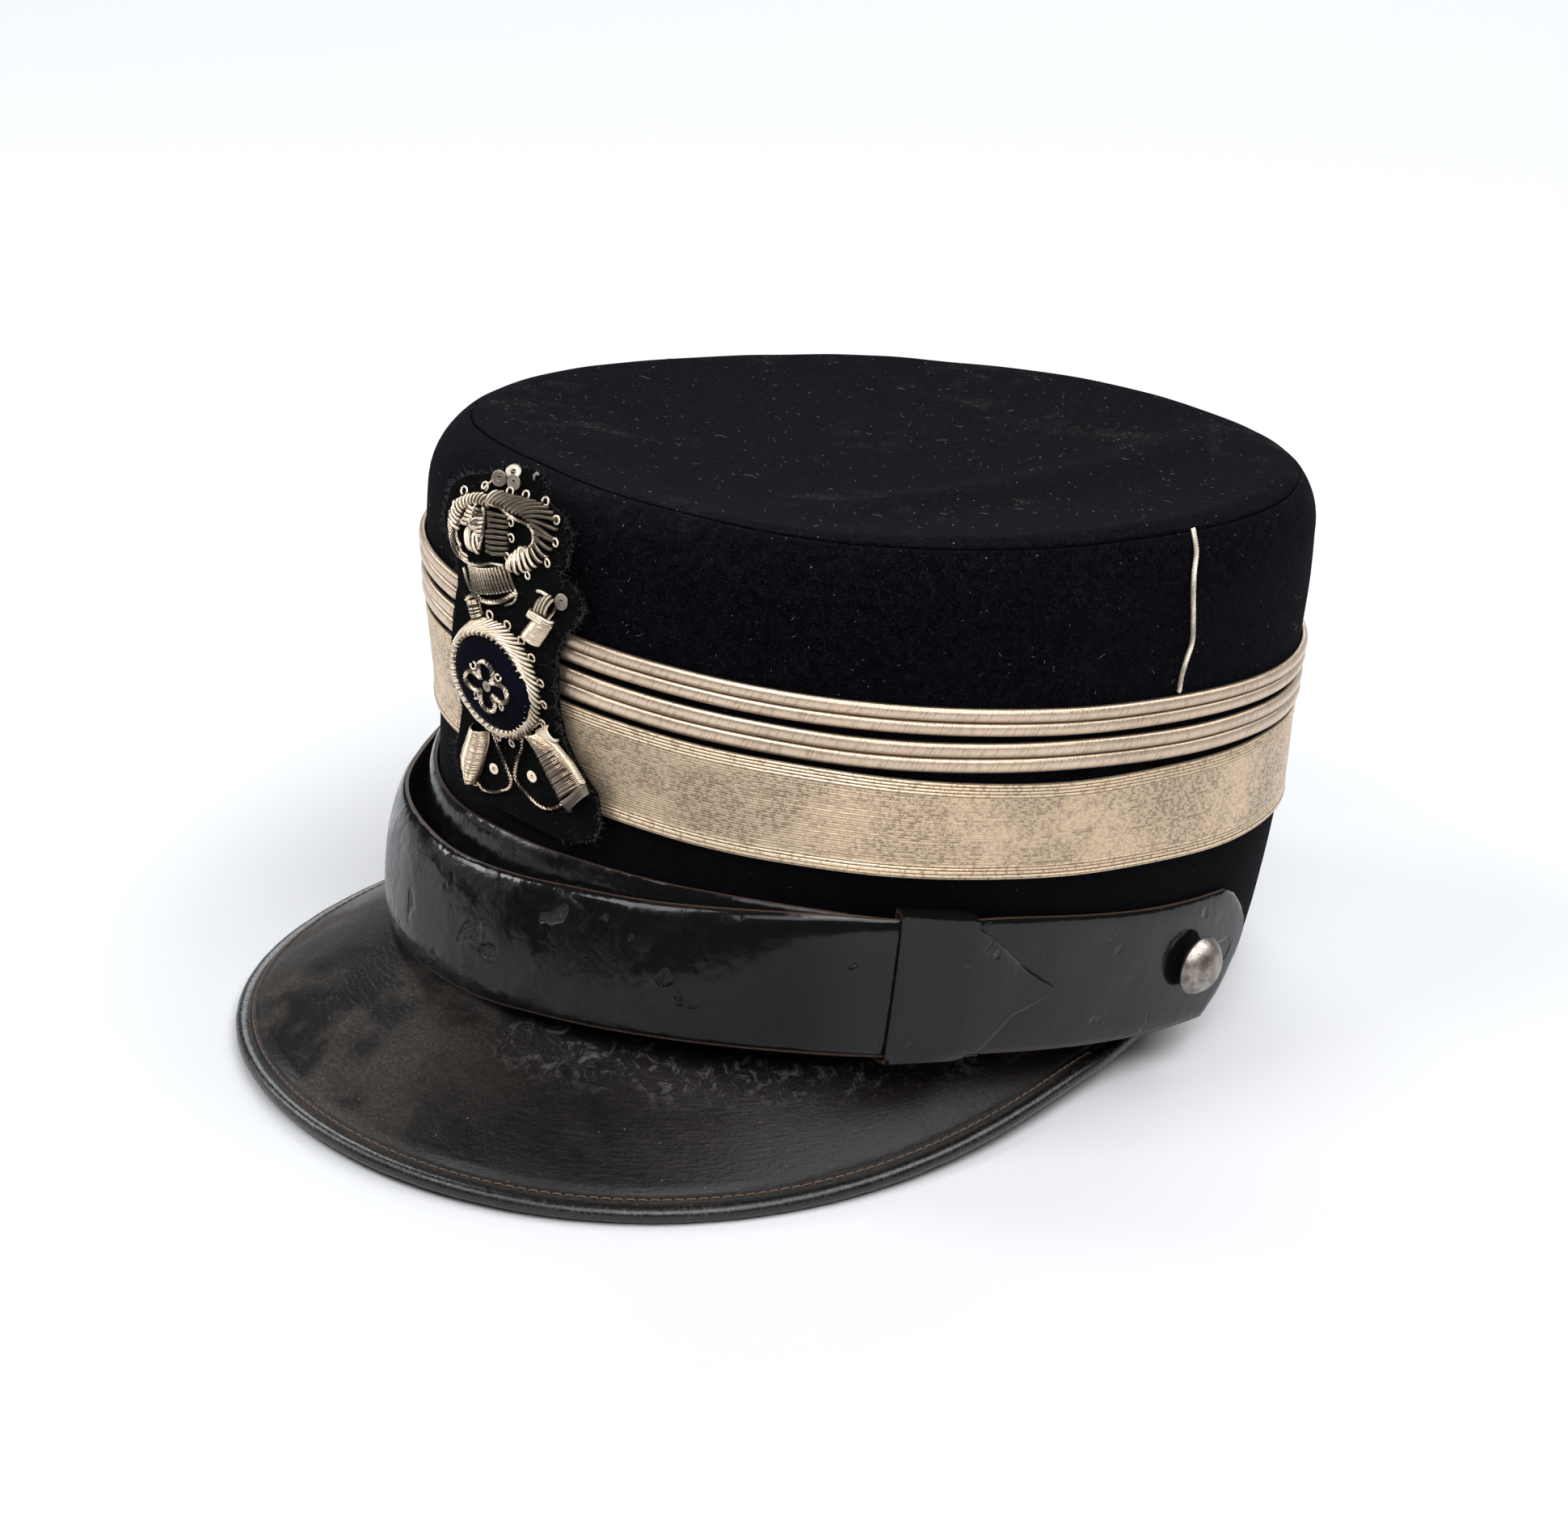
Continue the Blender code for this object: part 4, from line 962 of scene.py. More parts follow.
top_rows, top_kind = [], []
TOP_SEAM = ((61.9, -0.6), (62.3, -0.18), (63.2, 0.04), (64.6, 0.13), (67.0, 0.10), (71.0, 0.0), (76.0, 0.0),
            (81.0, 0.0), (86.0, 0.0), (90.0, 0.0))
for angle, out in TOP_SEAM:
    top_rows.append(shoulder_row(angle, out, 0.42))
    top_kind.append(0)
crest = [shoulder(phi, 90.0) for phi in TURNS]
centre = np.mean(crest, axis=0)


def top_row(part, below=0.0, amount=0.42):
    row = []
    for phi, p in zip(TURNS, crest):
        x = centre[0] + (p[0] - centre[0]) * part
        y = centre[1] + (p[1] - centre[1]) * part
        q = np.array((x, y, top_height(x, y, part, phi)))
        q[2] += soft(q, amount, 2.0) + 0.9 * (1 - part) * wave(q, 60.0, 9.0) if amount else 0.0
        q[2] -= below
        row.append(q)
    return row


PARTS = [0.985, 0.965, 0.94, 0.91, 0.88, 0.85, 0.81, 0.77, 0.73, 0.69, 0.65, 0.60, 0.55, 0.50, 0.45, 0.40,
         0.35, 0.30, 0.25, 0.20, 0.15, 0.10, 0.05]
for part in PARTS:
    top_rows.append(top_row(part))
    top_kind.append(0)
soup = Soup()
rows = np.array(top_rows)
n_top = len(rows)
start = soup.grid(rows, around=True, kind=np.array(top_kind))
middle = np.array((centre[0], centre[1], top_height(centre[0], centre[1], 0.0, 0.0)))
middle[2] += 0.9 * wave(middle, 60.0, 9.0)
soup.fan([start + (n_top - 1) * AROUND + k for k in range(AROUND)], middle)
under = [top_row(part, 2.0, 0.0) for part in (0.05, 0.2, 0.4, 0.6, 0.8, 0.92, 1.0)]
under += [[shoulder(phi, 90 - (90 - angle) * (90 - seam_angle(phi)) / (90 - SEAM_ANGLE), -2.0) for phi in TURNS]
          for angle in (84.0, 76.0, 68.0, 62.4)]
under = np.array(under)
below_start = soup.grid(under, around=True, kind=2)
soup.fan([below_start + k for k in range(AROUND)], middle - np.array((0, 0, 2.4)), flip=True, kind=2)
last = below_start + (len(under) - 1) * AROUND
for k in range(AROUND):
    a, b = last + k, last + (k + 1) % AROUND
    soup.faces.append((a, b, start + (k + 1) % AROUND, start + k))
    soup.uvs += [(0, 0)] * 4
    soup.kinds.append(0)
soup.make("cloth_top", [wool, velvet, cotton], "crown_top", sharp=None)

# ----------------------------------------------------------------- metal lace
COLS = 360
RING = [-180.0 + 360.0 * k / COLS for k in range(COLS)]


def edge_wave(phi, seed, amount):
    return amount * noise.noise(Vector((math.cos(math.radians(phi)) * 3.1 + seed, math.sin(math.radians(phi)) * 3.1, seed)))


def ring_rows(profile, seed=0.0, amount=0.0):
    """profile is (height, out); the strip's heights wander a little round the cap."""
    return np.array([[crown(phi, h + edge_wave(phi, seed, amount), out) for phi in RING] for h, out in profile])


def lace_drop(phi, h):
    """The lace was sewn a little low on the wearer's left."""
    return -1.3 * math.exp(-((phi - 76.0) / 22.0) ** 2) * min(1.0, max(0.0, (h - LACE_LOW - 3.0) / 16.0))


profile = [(LACE_LOW, 0.45), (LACE_LOW - 0.02, 0.9)]
h = LACE_LOW
while h < LACE_HIGH - 0.01:
    at_low, at_high = h - LACE_LOW, LACE_HIGH - h
    if at_low < 1.5:                        # bright rolled edge, then a fine groove
        out = 1.25 + 0.28 * math.sqrt(max(0.0, 1 - ((at_low - 0.65) / 0.7) ** 2)) - 0.1
        step = 0.13
    elif at_low < 3.0 or at_high < 3.3:     # ribs of the selvedges
        out = 1.13 + 0.13 * math.cos(2 * math.pi * (at_low - 1.5) / 0.75)
        step = 0.125
    else:                                   # the woven field
        out = 1.10 + 0.035 * math.cos(2 * math.pi * at_low / 1.04)
        step = 0.26
    profile.append((h, out))
    h += step
profile += [(LACE_HIGH, 1.15), (LACE_HIGH + 0.02, 0.8), (LACE_HIGH, 0.45)]
rows = ring_rows(profile, 3.0, 0.45)
for row, (h, out) in zip(rows, profile):
    row[:, 2] += [lace_drop(phi, h) for phi in RING]
soup = Soup()
soup.grid(rows, arc_uv(rows, np.array([h for h, out in profile]), True), around=True, closed=True)
soup.make("wide_lace", lace, "lace_wide", sharp=None)

for name, (low, high), seed in (("braid_lower", BRAID_LOWER, 5.0), ("braid_upper", BRAID_UPPER, 8.0)):
    span = high - low
    profile = [(low, 0.42)]
    for ridge in (0, 1):
        middle_h = low + span * (0.25 + 0.5 * ridge)
        for k in range(13):
            f = math.radians(-96 + 16 * k)
            profile.append((middle_h + span * 0.25 * math.sin(f), 0.55 + 1.12 * math.cos(f) + 0.12))
    profile.append((high, 0.42))
    rows = ring_rows(profile, seed, 0.30)
    v = np.concatenate(((0,), np.cumsum(np.linalg.norm(np.diff(np.array(profile), axis=0), axis=1))))
    v *= 9.19 / v[-1]
    soup = Soup()
    soup.grid(rows, arc_uv(rows, v, True), around=True, closed=True)
    soup.make(name + "_wound", braid, name, sharp=None)


# --------------------------------------------------------------- twisted cords
def refine(path, step):
    """Smooth curve through the points, with points about step mm apart."""
    path = np.asarray(path, float)
    keys = np.concatenate(((0,), np.cumsum(np.linalg.norm(np.diff(path, axis=0), axis=1))))
    count = max(4, int(keys[-1] / step) + 1)
    xs = np.linspace(0, keys[-1], count)
    out = np.zeros((count, path.shape[1]))
    for column in range(path.shape[1]):
        table = [(k, value) for k, value in zip(keys, path[:, column])]
        out[:, column] = [smooth(table, 1, x) for x in xs]
    return out


def twist(soup, path, radius, pitch, strands=2, step=0.3, sides=6, kind=0, side=None):
    """Strands wound round each other along a path of points in the hat frame."""
    path = refine(path, step)
    t = np.gradient(path, axis=0)
    t /= np.linalg.norm(t, axis=1)[:, None]
    ref = np.array((0.1, -1.0, 0.1)) if side is None else np.asarray(side, float)
    arc = np.concatenate(((0,), np.cumsum(np.linalg.norm(np.diff(path, axis=0), axis=1))))
    frames = []
    for k in range(len(path)):
        ref = unit(ref - np.dot(ref, t[k]) * t[k])
        frames.append((ref.copy(), np.cross(t[k], ref)))
    own = radius / (1 + 1 / math.sin(math.pi / strands)) * (1.15 if strands > 2 else 1.0)
    offset = radius - own
    for s in range(strands):
        f = 2 * math.pi * (arc / pitch + s / strands)
        line = [p + a * math.cos(g) * offset + b * math.sin(g) * offset for p, (a, b), g in zip(path, frames, f)]
        soup.tube(line, own, sides, kind=kind)


for name, side in (("side_cord_left", 1), ("side_cord_right", -1)):
    route = []
    for phi, height in SIDE_CORD:
        start_h = crest_height(side * phi) - SHOULDER_DROP
        out = 0.65 + 0.4
        if side < 0 and height > 100.0:
            height = crest_height(side * phi) + (height - 120.5)
        if height <= start_h:
            route.append(crown(side * phi, height, out))
        else:
            angle = math.degrees(math.asin(min((height - start_h) / SHOULDER_DROP, 1.0)))
            route.append(shoulder(side * phi, min(angle, SEAM_ANGLE - 4.0), out))
    kept = [route[0]]
    for p in route[1:]:
        if kept[-1][2] - p[2] > 1.0:
            kept.append(p)
    kept[0] = kept[0] - outward(side * 90, 100.0) * 0.6
    kept[-1] = kept[-1] - outward(side * 90, 85.0) * 0.5
    soup = Soup()
    twist(soup, kept, 0.58, 2.0, strands=3, step=0.22, sides=6, side=(side, 0, 0))
    soup.make(name + "_twisted", cord_wire, name, sharp=None)

# -------------------------------------------------------------------- badge
patch_h = np.array([row[0] for row in PATCH_OUTLINE])[::-1]
patch_l = np.array([row[1] for row in PATCH_OUTLINE])[::-1]
patch_r = np.array([row[2] for row in PATCH_OUTLINE])[::-1]
patch_l = np.where(patch_l < -12.0, -12.0 + (patch_l + 12.0) * 0.72, patch_l)


def patch_edges(h):
    """Left and right edge of the felt, a little ragged as it was cut by hand."""
    left = float(np.interp(h, patch_h, patch_l)) + 0.35 * noise.noise(Vector((0.0, h / 2.1, 1.0)))
    right = float(np.interp(h, patch_h, patch_r)) + 0.35 * noise.noise(Vector((9.0, h / 2.1, 1.0)))
    return left, right


front, back = [], []
PATCH_ROWS, PATCH_COLS = 104, 34
for i in range(PATCH_ROWS + 1):
    h = 36.8 + (115.0 - 36.8) * i / PATCH_ROWS
    left, right = patch_edges(h)
    end = min(h - 36.8, 115.0 - h) / 1.0
    a, b = [], []
    for j in range(PATCH_COLS + 1):
        t = 0.5 - 0.5 * math.cos(math.pi * j / PATCH_COLS)
        u = left + (right - left) * t
        inside = min(u - left, right - u, 9.0) / 0.9
        e = min(1.0, max(0.0, min(inside, end + 0.001)))
        round_ = math.sqrt(max(0.0, 1 - (1 - e) ** 2))
        wool_up = 0.16 * noise.noise(Vector((u / 1.6, h / 1.6, 3.0)))
        a.append(plate(u, h, -0.8 + (0.8 + wool_up) * round_))
        b.append(plate(u, h, -0.8 - 0.75 * round_))
    front.append(a)
    back.append(b)
rows = np.concatenate((np.array(front), np.array(back)[:, ::-1][:, 1:-1]), axis=1)
soup = Soup()
start = soup.grid(rows, around=True)
width = rows.shape[1]
soup.fan([start + k for k in range(width)], rows[0].mean(axis=0), flip=True)
soup.fan([start + PATCH_ROWS * width + k for k in range(width)], rows[-1].mean(axis=0))
soup.make("felt_patch", felt, "badge_patch", sharp=None)

# fuzz of loose fibres, most of it at the cut edge
soup = Soup()
for k in range(1500):
    h = rng.uniform(37.0, 114.8)
    left, right = patch_edges(h)
    if rng.random() < 0.72:
        on_right = rng.random() < 0.62
        u = (right - abs(rng.normal(0, 0.5))) if on_right else (left + abs(rng.normal(0, 0.5)))
        lean = np.array((rng.normal(1.0, 0.5) * (1 if on_right else -1), rng.normal(-0.4, 0.5), rng.normal(0.1, 0.7)))
    else:
        u = rng.uniform(left, right)
        lean = np.array((rng.normal(0, 0.8), -0.8, rng.normal(0, 0.8)))
    base = plate(u, h, -0.3)
    length = rng.uniform(0.5, 1.5)
    bend = rng.normal(0, 0.35, 3)
    lean = unit(lean)
    points = [base + lean * length * s + bend * length * s * s for s in (0.0, 0.35, 0.7, 1.0)]
    soup.tube(points, (0.045, 0.04, 0.035, 0.02), sides=3)
soup.make("felt_fibres", fuzz, None, sharp=None)


def seat(q):
    """Place of a drawn point: the embroidery is a little narrower than it was drawn."""
    return np.array((-15.0 + (q[0] + 15.0) * 0.947, q[1]))


def strand(soup, a, b, pad=0.8, radius=0.42, bow=0.0, kind=0, sides=6, step=0.8, lift=0.0, sink=0.15, flat=3.2):
    """One strand of coiled wire from a to b on the badge, over a pad.

    a and b are (across, height); bow bends it sideways.
    """
    a, b = seat(a), seat(b)
    length = np.linalg.norm(b - a)
    n = max(7, int(length / step) + 5)
    side = np.array((-(b - a)[1], (b - a)[0])) / max(length, 1e-6)
    path = []
    for s in (0.5 - 0.5 * np.cos(np.pi * np.linspace(0, 1, n))):
        q = a + (b - a) * s + side * bow * 4 * s * (1 - s)
        rise = max(0.0, 1 - abs(2 * s - 1) ** flat) ** 0.5
        path.append(plate(q[0], q[1], lift + sink + pad * rise + radius * 0.55))
    soup.tube(path, radius, sides, kind=kind)


def along(points, s):
    """Point at part s of a line of points."""
    points = np.asarray(points, float)
    keys = np.concatenate(((0,), np.cumsum(np.linalg.norm(np.diff(points, axis=0), axis=1))))
    x = s * keys[-1]
    return np.array([np.interp(x, keys, points[:, c]) for c in (0, 1)])


def cord_on_badge(soup, points, radius, pitch, above=0.5, strands=2, kind=0):
    flat = refine([seat(q) for q in points], 0.8)
    path = [plate(u, h, above + 0.12 * noise.noise(Vector((u, h, 4.0)))) for u, h in flat]
    twist(soup, path, radius, pitch, strands=strands, step=0.3, sides=5, kind=kind)


def loop(soup, u, h, size=0.85, wire_radius=0.27, above=0.75, turn=0.0, kind=0):
    """A small standing loop of wire."""
    u, h = seat((u, h))
    path = []
    for k in range(11):
        f = math.radians(turn + 20 + 320 * k / 10)
        path.append(plate(u + size * math.cos(f), h + size * math.sin(f), above + 0.25 * math.sin(f / 2)))
    soup.tube(path, wire_radius, 5, kind=kind)


def sequin(soup, u, h, above, radius, tilt=(0.0, 0.0), kind=0):
    """A small dished disc sewn down through its middle."""
    u, h = seat((u, h))
    base = plate(u, h, above)
    normal = unit(plate(u, h, 1.0) - plate(u, h, 0.0))
    across = unit(plate(u + 0.5, h) - plate(u - 0.5, h))
    upright = unit(np.cross(normal, across))
    normal = unit(normal + across * tilt[0] + upright * tilt[1])
    across = unit(across - normal * np.dot(across, normal))
    upright = np.cross(normal, across)
    rings = []
    for r, z in ((0.22, -0.10), (0.22, 0.10), (0.42, 0.16), (0.62, 0.12), (0.80, 0.20), (0.97, 0.16), (1.0, 0.05),
                 (0.97, -0.04), (0.62, -0.08)):
        rings.append([base + (across * math.cos(f) + upright * math.sin(f)) * r * radius + normal * z
                      for f in np.linspace(0, 2 * math.pi, 21)[:-1]])
    soup.grid(np.array(rings), around=True, closed=True, kind=kind)
    soup.tube([base + across * 0.3 * radius * s - normal * abs(s) * 0.1 + normal * 0.28 for s in (-1, -0.5, 0, 0.5, 1)],
              0.20, 5, kind=kind)


ARCH_LEFT_OUT = ((-7.1, 91.5), (-10.5, 91.8), (-13.1, 93.6), (-14.4, 96.5), (-15.3, 99.5), (-14.6, 102.6),
                 (-12.0, 104.4), (-9.2, 105.7), (-6.1, 106.6), (-4.0, 106.2))
ARCH_LEFT_IN = ((-6.1, 92.6), (-8.4, 93.2), (-10.7, 94.8), (-11.8, 97.3), (-12.4, 99.9), (-11.4, 102.0),
                (-9.1, 103.6), (-6.4, 104.3), (-4.6, 104.2))
ARCH_RIGHT_OUT = ((-4.2, 104.9), (-3.4, 107.2), (-1.7, 108.5), (1.4, 108.3), (5.6, 108.8), (10.5, 109.2),
                  (14.3, 108.8), (17.4, 107.3), (18.3, 105.0), (18.1, 102.0), (16.7, 99.0), (13.2, 96.0),
                  (8.5, 93.6), (6.2, 93.9))
ARCH_RIGHT_IN = ((-3.6, 104.4), (-2.2, 105.3), (-0.2, 105.6), (2.9, 105.2), (6.5, 105.4), (10.0, 105.0),
                 (12.6, 103.6), (12.9, 101.6), (11.8, 100.0), (8.7, 99.4), (6.7, 97.4), (5.5, 95.4))

crown_soup = Soup()
# left arch: wrapped strands over its top, twisted cords down its side
for k in range(13):
    s = 0.42 + 0.56 * k / 12
    strand(crown_soup, along(ARCH_LEFT_IN, s - 0.02), along(ARCH_LEFT_OUT, s + 0.02), 0.9, 0.37, 0.12)
cord_on_badge(crown_soup, [along(ARCH_LEFT_OUT, s) for s in np.linspace(0.0, 0.50, 8)], 0.46, 1.5, 0.9)
cord_on_badge(crown_soup, [along(ARCH_LEFT_OUT, s) * 0.62 + along(ARCH_LEFT_IN, s) * 0.38
                           for s in np.linspace(0.02, 0.44, 8)], 0.42, 1.4, 1.1)
cord_on_badge(crown_soup, ((-10.0, 94.4), (-11.6, 95.4), (-12.3, 97.6), (-11.3, 99.5), (-10.1, 98.9)), 0.40, 1.3, 1.0)
cord_on_badge(crown_soup, ((-7.6, 92.8), (-9.6, 93.2), (-10.6, 94.2)), 0.40, 1.3, 1.0)
# two leaves of short strands beside the middle line, over the pearl
for k in range(5):
    strand(crown_soup, (-7.2 - 0.12 * k, 103.0 - 0.83 * k), (-9.6 - 0.42 * k, 103.0 - 0.98 * k), 0.7, 0.40, 0.15)
for k in range(7):
    strand(crown_soup, (-6.6 + 0.1 * k, 103.0 - 0.84 * k), (-4.1 + 0.05 * k, 103.7 - 0.90 * k), 0.7, 0.38, -0.15)
cord_on_badge(crown_soup, ((-4.6, 104.0), (-3.6, 102.4), (-3.3, 100.0), (-3.5, 97.6), (-3.9, 95.4)), 0.42, 1.3, 1.2)
cord_on_badge(crown_soup, ((-6.9, 104.2), (-7.0, 102.4), (-7.1, 101.2)), 0.36, 1.2, 1.5)
# pearl
for f in np.linspace(0, math.pi, 6)[:-1]:
    d = np.array((math.cos(f), math.sin(f)))
    strand(crown_soup, np.array((-6.9, 100.1)) - d * 1.25, np.array((-6.9, 100.1)) + d * 1.25, 1.5, 0.5, 0.0)
# drops under the pearl
strand(crown_soup, (-8.7, 98.7), (-7.0, 94.3), 0.9, 0.40, -0.55)
strand(crown_soup, (-8.2, 98.9), (-6.4, 94.2), 0.9, 0.34, -0.30)
strand(crown_soup, (-6.2, 98.6), (-4.6, 94.2), 0.9, 0.40, -0.45)
strand(crown_soup, (-5.5, 98.6), (-4.2, 95.2), 0.9, 0.34, 0.20)
cord_on_badge(crown_soup, ((-7.6, 98.4), (-7.3, 96.6), (-6.4, 95.0)), 0.34, 1.1, 1.0)
for k in range(5):
    strand(crown_soup, (-5.2 + 0.1 * k, 98.2 - 0.75 * k), (-4.2 + 0.05 * k, 98.5 - 0.75 * k), 0.7, 0.36)
# middle column of thick strands, and the short ones on its left
for k in range(8):
    t = k / 7
    strand(crown_soup, (-2.6 + 3.1 * t, 103.3 - 7.6 * t), (3.2 + 1.7 * t, 104.2 - 7.4 * t), 1.7, 0.46, 0.12)
for k in range(5):
    t = k / 4
    strand(crown_soup, (-2.2 + 0.7 * t, 99.6 - 3.9 * t), (-0.5 + 1.1 * t, 100.0 - 4.2 * t), 1.0, 0.44, 0.1)
for k in range(4):
    strand(crown_soup, (-3.0 + 0.3 * k, 103.4 - 0.9 * k), (-2.3 + 0.35 * k, 103.6 - 0.9 * k), 0.8, 0.38)
# right arch: long slanting strands that follow it, in the order in which they were sewn
for k in range(23):
    s = 0.01 + 0.98 * k / 22
    lead = 0.10 if s < 0.55 else 0.05
    strand(crown_soup, along(ARCH_RIGHT_IN, max(s - lead * 0.55, 0.0)), along(ARCH_RIGHT_OUT, min(s + lead * 0.75, 1.0)),
           1.35, 0.41, 0.40 if s < 0.55 else 0.15)
cord_on_badge(crown_soup, ((-3.4, 105.1), (0.2, 105.2), (2.9, 104.7), (6.0, 104.4), (9.8, 104.3), (12.1, 103.2),
                           (12.5, 101.3), (11.2, 99.5)), 0.46, 1.2, 1.1)
for k in range(9):
    t = k / 8
    strand(crown_soup, (6.4 + 3.6 * t, 96.6 + 2.9 * t), (7.3 + 4.2 * t, 95.0 + 3.3 * t), 1.1, 0.38, 0.1)
# band
for k in range(15):
    t = k / 14
    top = np.array((-7.6 + 12.3 * t, 91.3 + 3.2 * t + 0.9 * (2 * t - 1) ** 2 - 0.9))
    low = np.array((-5.3 + 13.3 * t, 85.6 + 4.4 * t - 0.5 * math.sin(math.pi * t)))
    cord_on_badge(crown_soup, (top, top * 0.6 + low * 0.4 + (0.1, 0), low), 0.41, 0.95, 1.5 - 0.9 * (2 * t - 1) ** 2)
cord_on_badge(crown_soup, ((-7.6, 83.4), (-5.2, 85.1), (-2.0, 84.7), (1.7, 85.6), (5.6, 87.4), (8.8, 89.8)), 0.62, 1.9, 0.8)
cord_on_badge(crown_soup, ((8.7, 89.6), (8.0, 87.4), (5.1, 85.8)), 0.38, 1.3, 0.5)
cord_on_badge(crown_soup, ((-9.1, 89.8), (-7.9, 87.9), (-6.3, 85.6)), 0.42, 1.3, 0.6)
cord_on_badge(crown_soup, ((-6.0, 91.8), (-2.8, 92.4), (1.2, 93.8), (4.6, 94.4)), 0.40, 1.2, 1.5)
for u, h, turn in ((-11.8, 105.5, 90), (-5.9, 108.0, 80), (1.9, 109.0, 60), (6.8, 109.6, 60), (12.9, 109.9, 40),
                   (17.6, 107.4, 0), (18.9, 103.2, -20), (17.6, 98.6, -40), (12.0, 94.4, -70), (4.5, 103.4, 0),
                   (5.6, 100.4, 0), (5.0, 96.3, 0)):
    loop(crown_soup, u, h, 0.82, 0.27, 0.9, turn - 180)
cord_on_badge(crown_soup, ((-6.0, 107.4), (-4.6, 109.3), (-3.4, 110.4)), 0.34, 1.0, 1.2)
for spot in ((-2.3, 110.5, (0.45, -0.2)), (1.0, 112.7, (0.35, 0.25)), (2.3, 110.9, (0.2, -0.35))):
    sequin(crown_soup, spot[0], spot[1], 1.3, 1.75, spot[2], kind=1)
crown_soup.make("crown_bullion", [wire, sequin_metal], "badge_crown", sharp=None)

# a pale thread end at the top of the felt
soup = Soup()
soup.tube([plate(5.2, 112.8, 0.0), plate(5.3, 113.6, 0.5), plate(5.9, 114.2, 0.6), plate(6.4, 114.0, 0.5)],
          (0.28, 0.34, 0.36, 0.2), 6)
soup.make("felt_thread_end", lint, None, sharp=None)

# ring of slanting strands, with a beaded inner edge and small loops outside
cu, ch = RING_CENTRE
cu, ch = cu - 0.2, ch + 0.6
ring_soup = Soup()
SLOPE = ((0.0, 1.8), (0.12, 2.7), (0.30, 3.0), (0.55, 2.5), (0.80, 1.5), (1.0, 0.4))
N = 62
for k in range(N):
    f = 2 * math.pi * k / N
    path = []
    for s, above in [(j / 11, straight(SLOPE, 1, j / 11)) for j in range(12)]:
        g = f - 0.58 * s - 0.06 * math.sin(math.pi * s)
        wave_ = 0.008 * math.sin(17.0 * f)
        path.append(plate(cu + RING_WIDE * (0.935 + 0.155 * s + wave_) * math.cos(g),
                          ch + RING_TALL * (0.860 + 0.235 * s + wave_) * math.sin(g), above))
    ring_soup.tube(path, [0.34, 0.37, 0.38, 0.39, 0.40, 0.41, 0.42, 0.43, 0.44, 0.44, 0.42, 0.32], 7)
for k in range(46):
    f = 2 * math.pi * (k + 0.5) / 46
    path = [plate(cu + RING_WIDE * (r + 0.075) * math.cos(f - 0.2 * (r - 0.8)), ch + RING_TALL * r * math.sin(f - 0.2 * (r - 0.8)), z)
            for r, z in ((0.835, 2.2), (0.85, 2.95), (0.875, 3.3), (0.90, 3.25), (0.92, 2.9))]
    ring_soup.tube(path, 0.33, 6)
for f in (96, 74, 55, 38, 16, -3, -22, -97, -80):
    g = math.radians(f)
    q = np.array((cu + RING_WIDE * 1.20 * math.cos(g), ch + RING_TALL * 1.19 * math.sin(g)))
    q[0] = -15.0 + (q[0] + 15.0) / 0.947
    loop(ring_soup, *q, 0.85, 0.27, 0.7, f - 180)
ring_soup.make("ring_bullion", wire, "badge_ring", sharp=None)

# velvet disc
rings = []
for r, z in ((0.96, 0.9), (0.98, 1.8), (0.99, 2.5), (0.98, 3.1), (0.94, 3.5), (0.80, 3.8), (0.50, 4.0), (0.20, 4.05)):
    rings.append([plate(cu + 1.1 + DISC_RADIUS * 1.225 * r * math.cos(f), ch + DISC_RADIUS * 1.03 * r * math.sin(f),
                        z + 0.08 * noise.noise(Vector((3 * r * math.cos(f), 3 * r * math.sin(f), 8.0))))
                  for f in np.linspace(0, 2 * math.pi, 65)[:-1]])
soup = Soup()
start = soup.grid(np.array(rings), around=True)
soup.fan([start + 7 * 64 + k for k in range(64)], plate(cu + 1.1, ch, 4.07))
soup.fan([start + k for k in range(64)], plate(cu, ch, 1.0), flip=True)
soup.make("velvet_disc", disc_velvet, "badge_disc", sharp=None)

# rosette of twisted cord on the disc
soup = Soup()
route = []
for k in range(65):
    f = 2 * math.pi * k / 64
    r = 3.55 + 1.75 * math.cos(4 * f)
    bend = 0.42 * math.sin(4 * f)
    route.append((cu + r * math.cos(f + bend * 0.35), ch + r * math.sin(f + bend * 0.35)))
path = [plate(cu + 1.0 + (u - cu) * 1.25, h, 4.45) for u, h in route]
twist(soup, path, 0.62, 1.4, strands=2, step=0.3, sides=6)
for f in (45, 135, 225, 315):
    g = math.radians(f)
    loop(soup, -15.0 + (cu + 1.0 + 5.6 * math.cos(g) + 15.0) / 0.947, ch + 4.5 * math.sin(g), 0.72, 0.28, 4.25, f)
sequin(soup, -15.0 + (cu + 1.0 + 15.0) / 0.947, ch, 4.3, 1.25, (0, 0), kind=1)
soup.make("disc_rosette", [wire, sequin_metal], "badge_motif", sharp=None)


# gun butts and barrels: satin thread wound over a pad
def satin_block(soup, left, right, count, pad, radius, lift=0.0, bow=0.0):
    """Threads side by side from one edge line to the other."""
    for k in range(count):
        s = k / (count - 1)
        strand(soup, along(left, s - 0.02), along(right, s + 0.02), pad, radius * rng.uniform(0.85, 1.1),
               bow + rng.normal(0, 0.05), sides=5, step=0.55, lift=lift + rng.uniform(0.0, 0.10), flat=1.9)


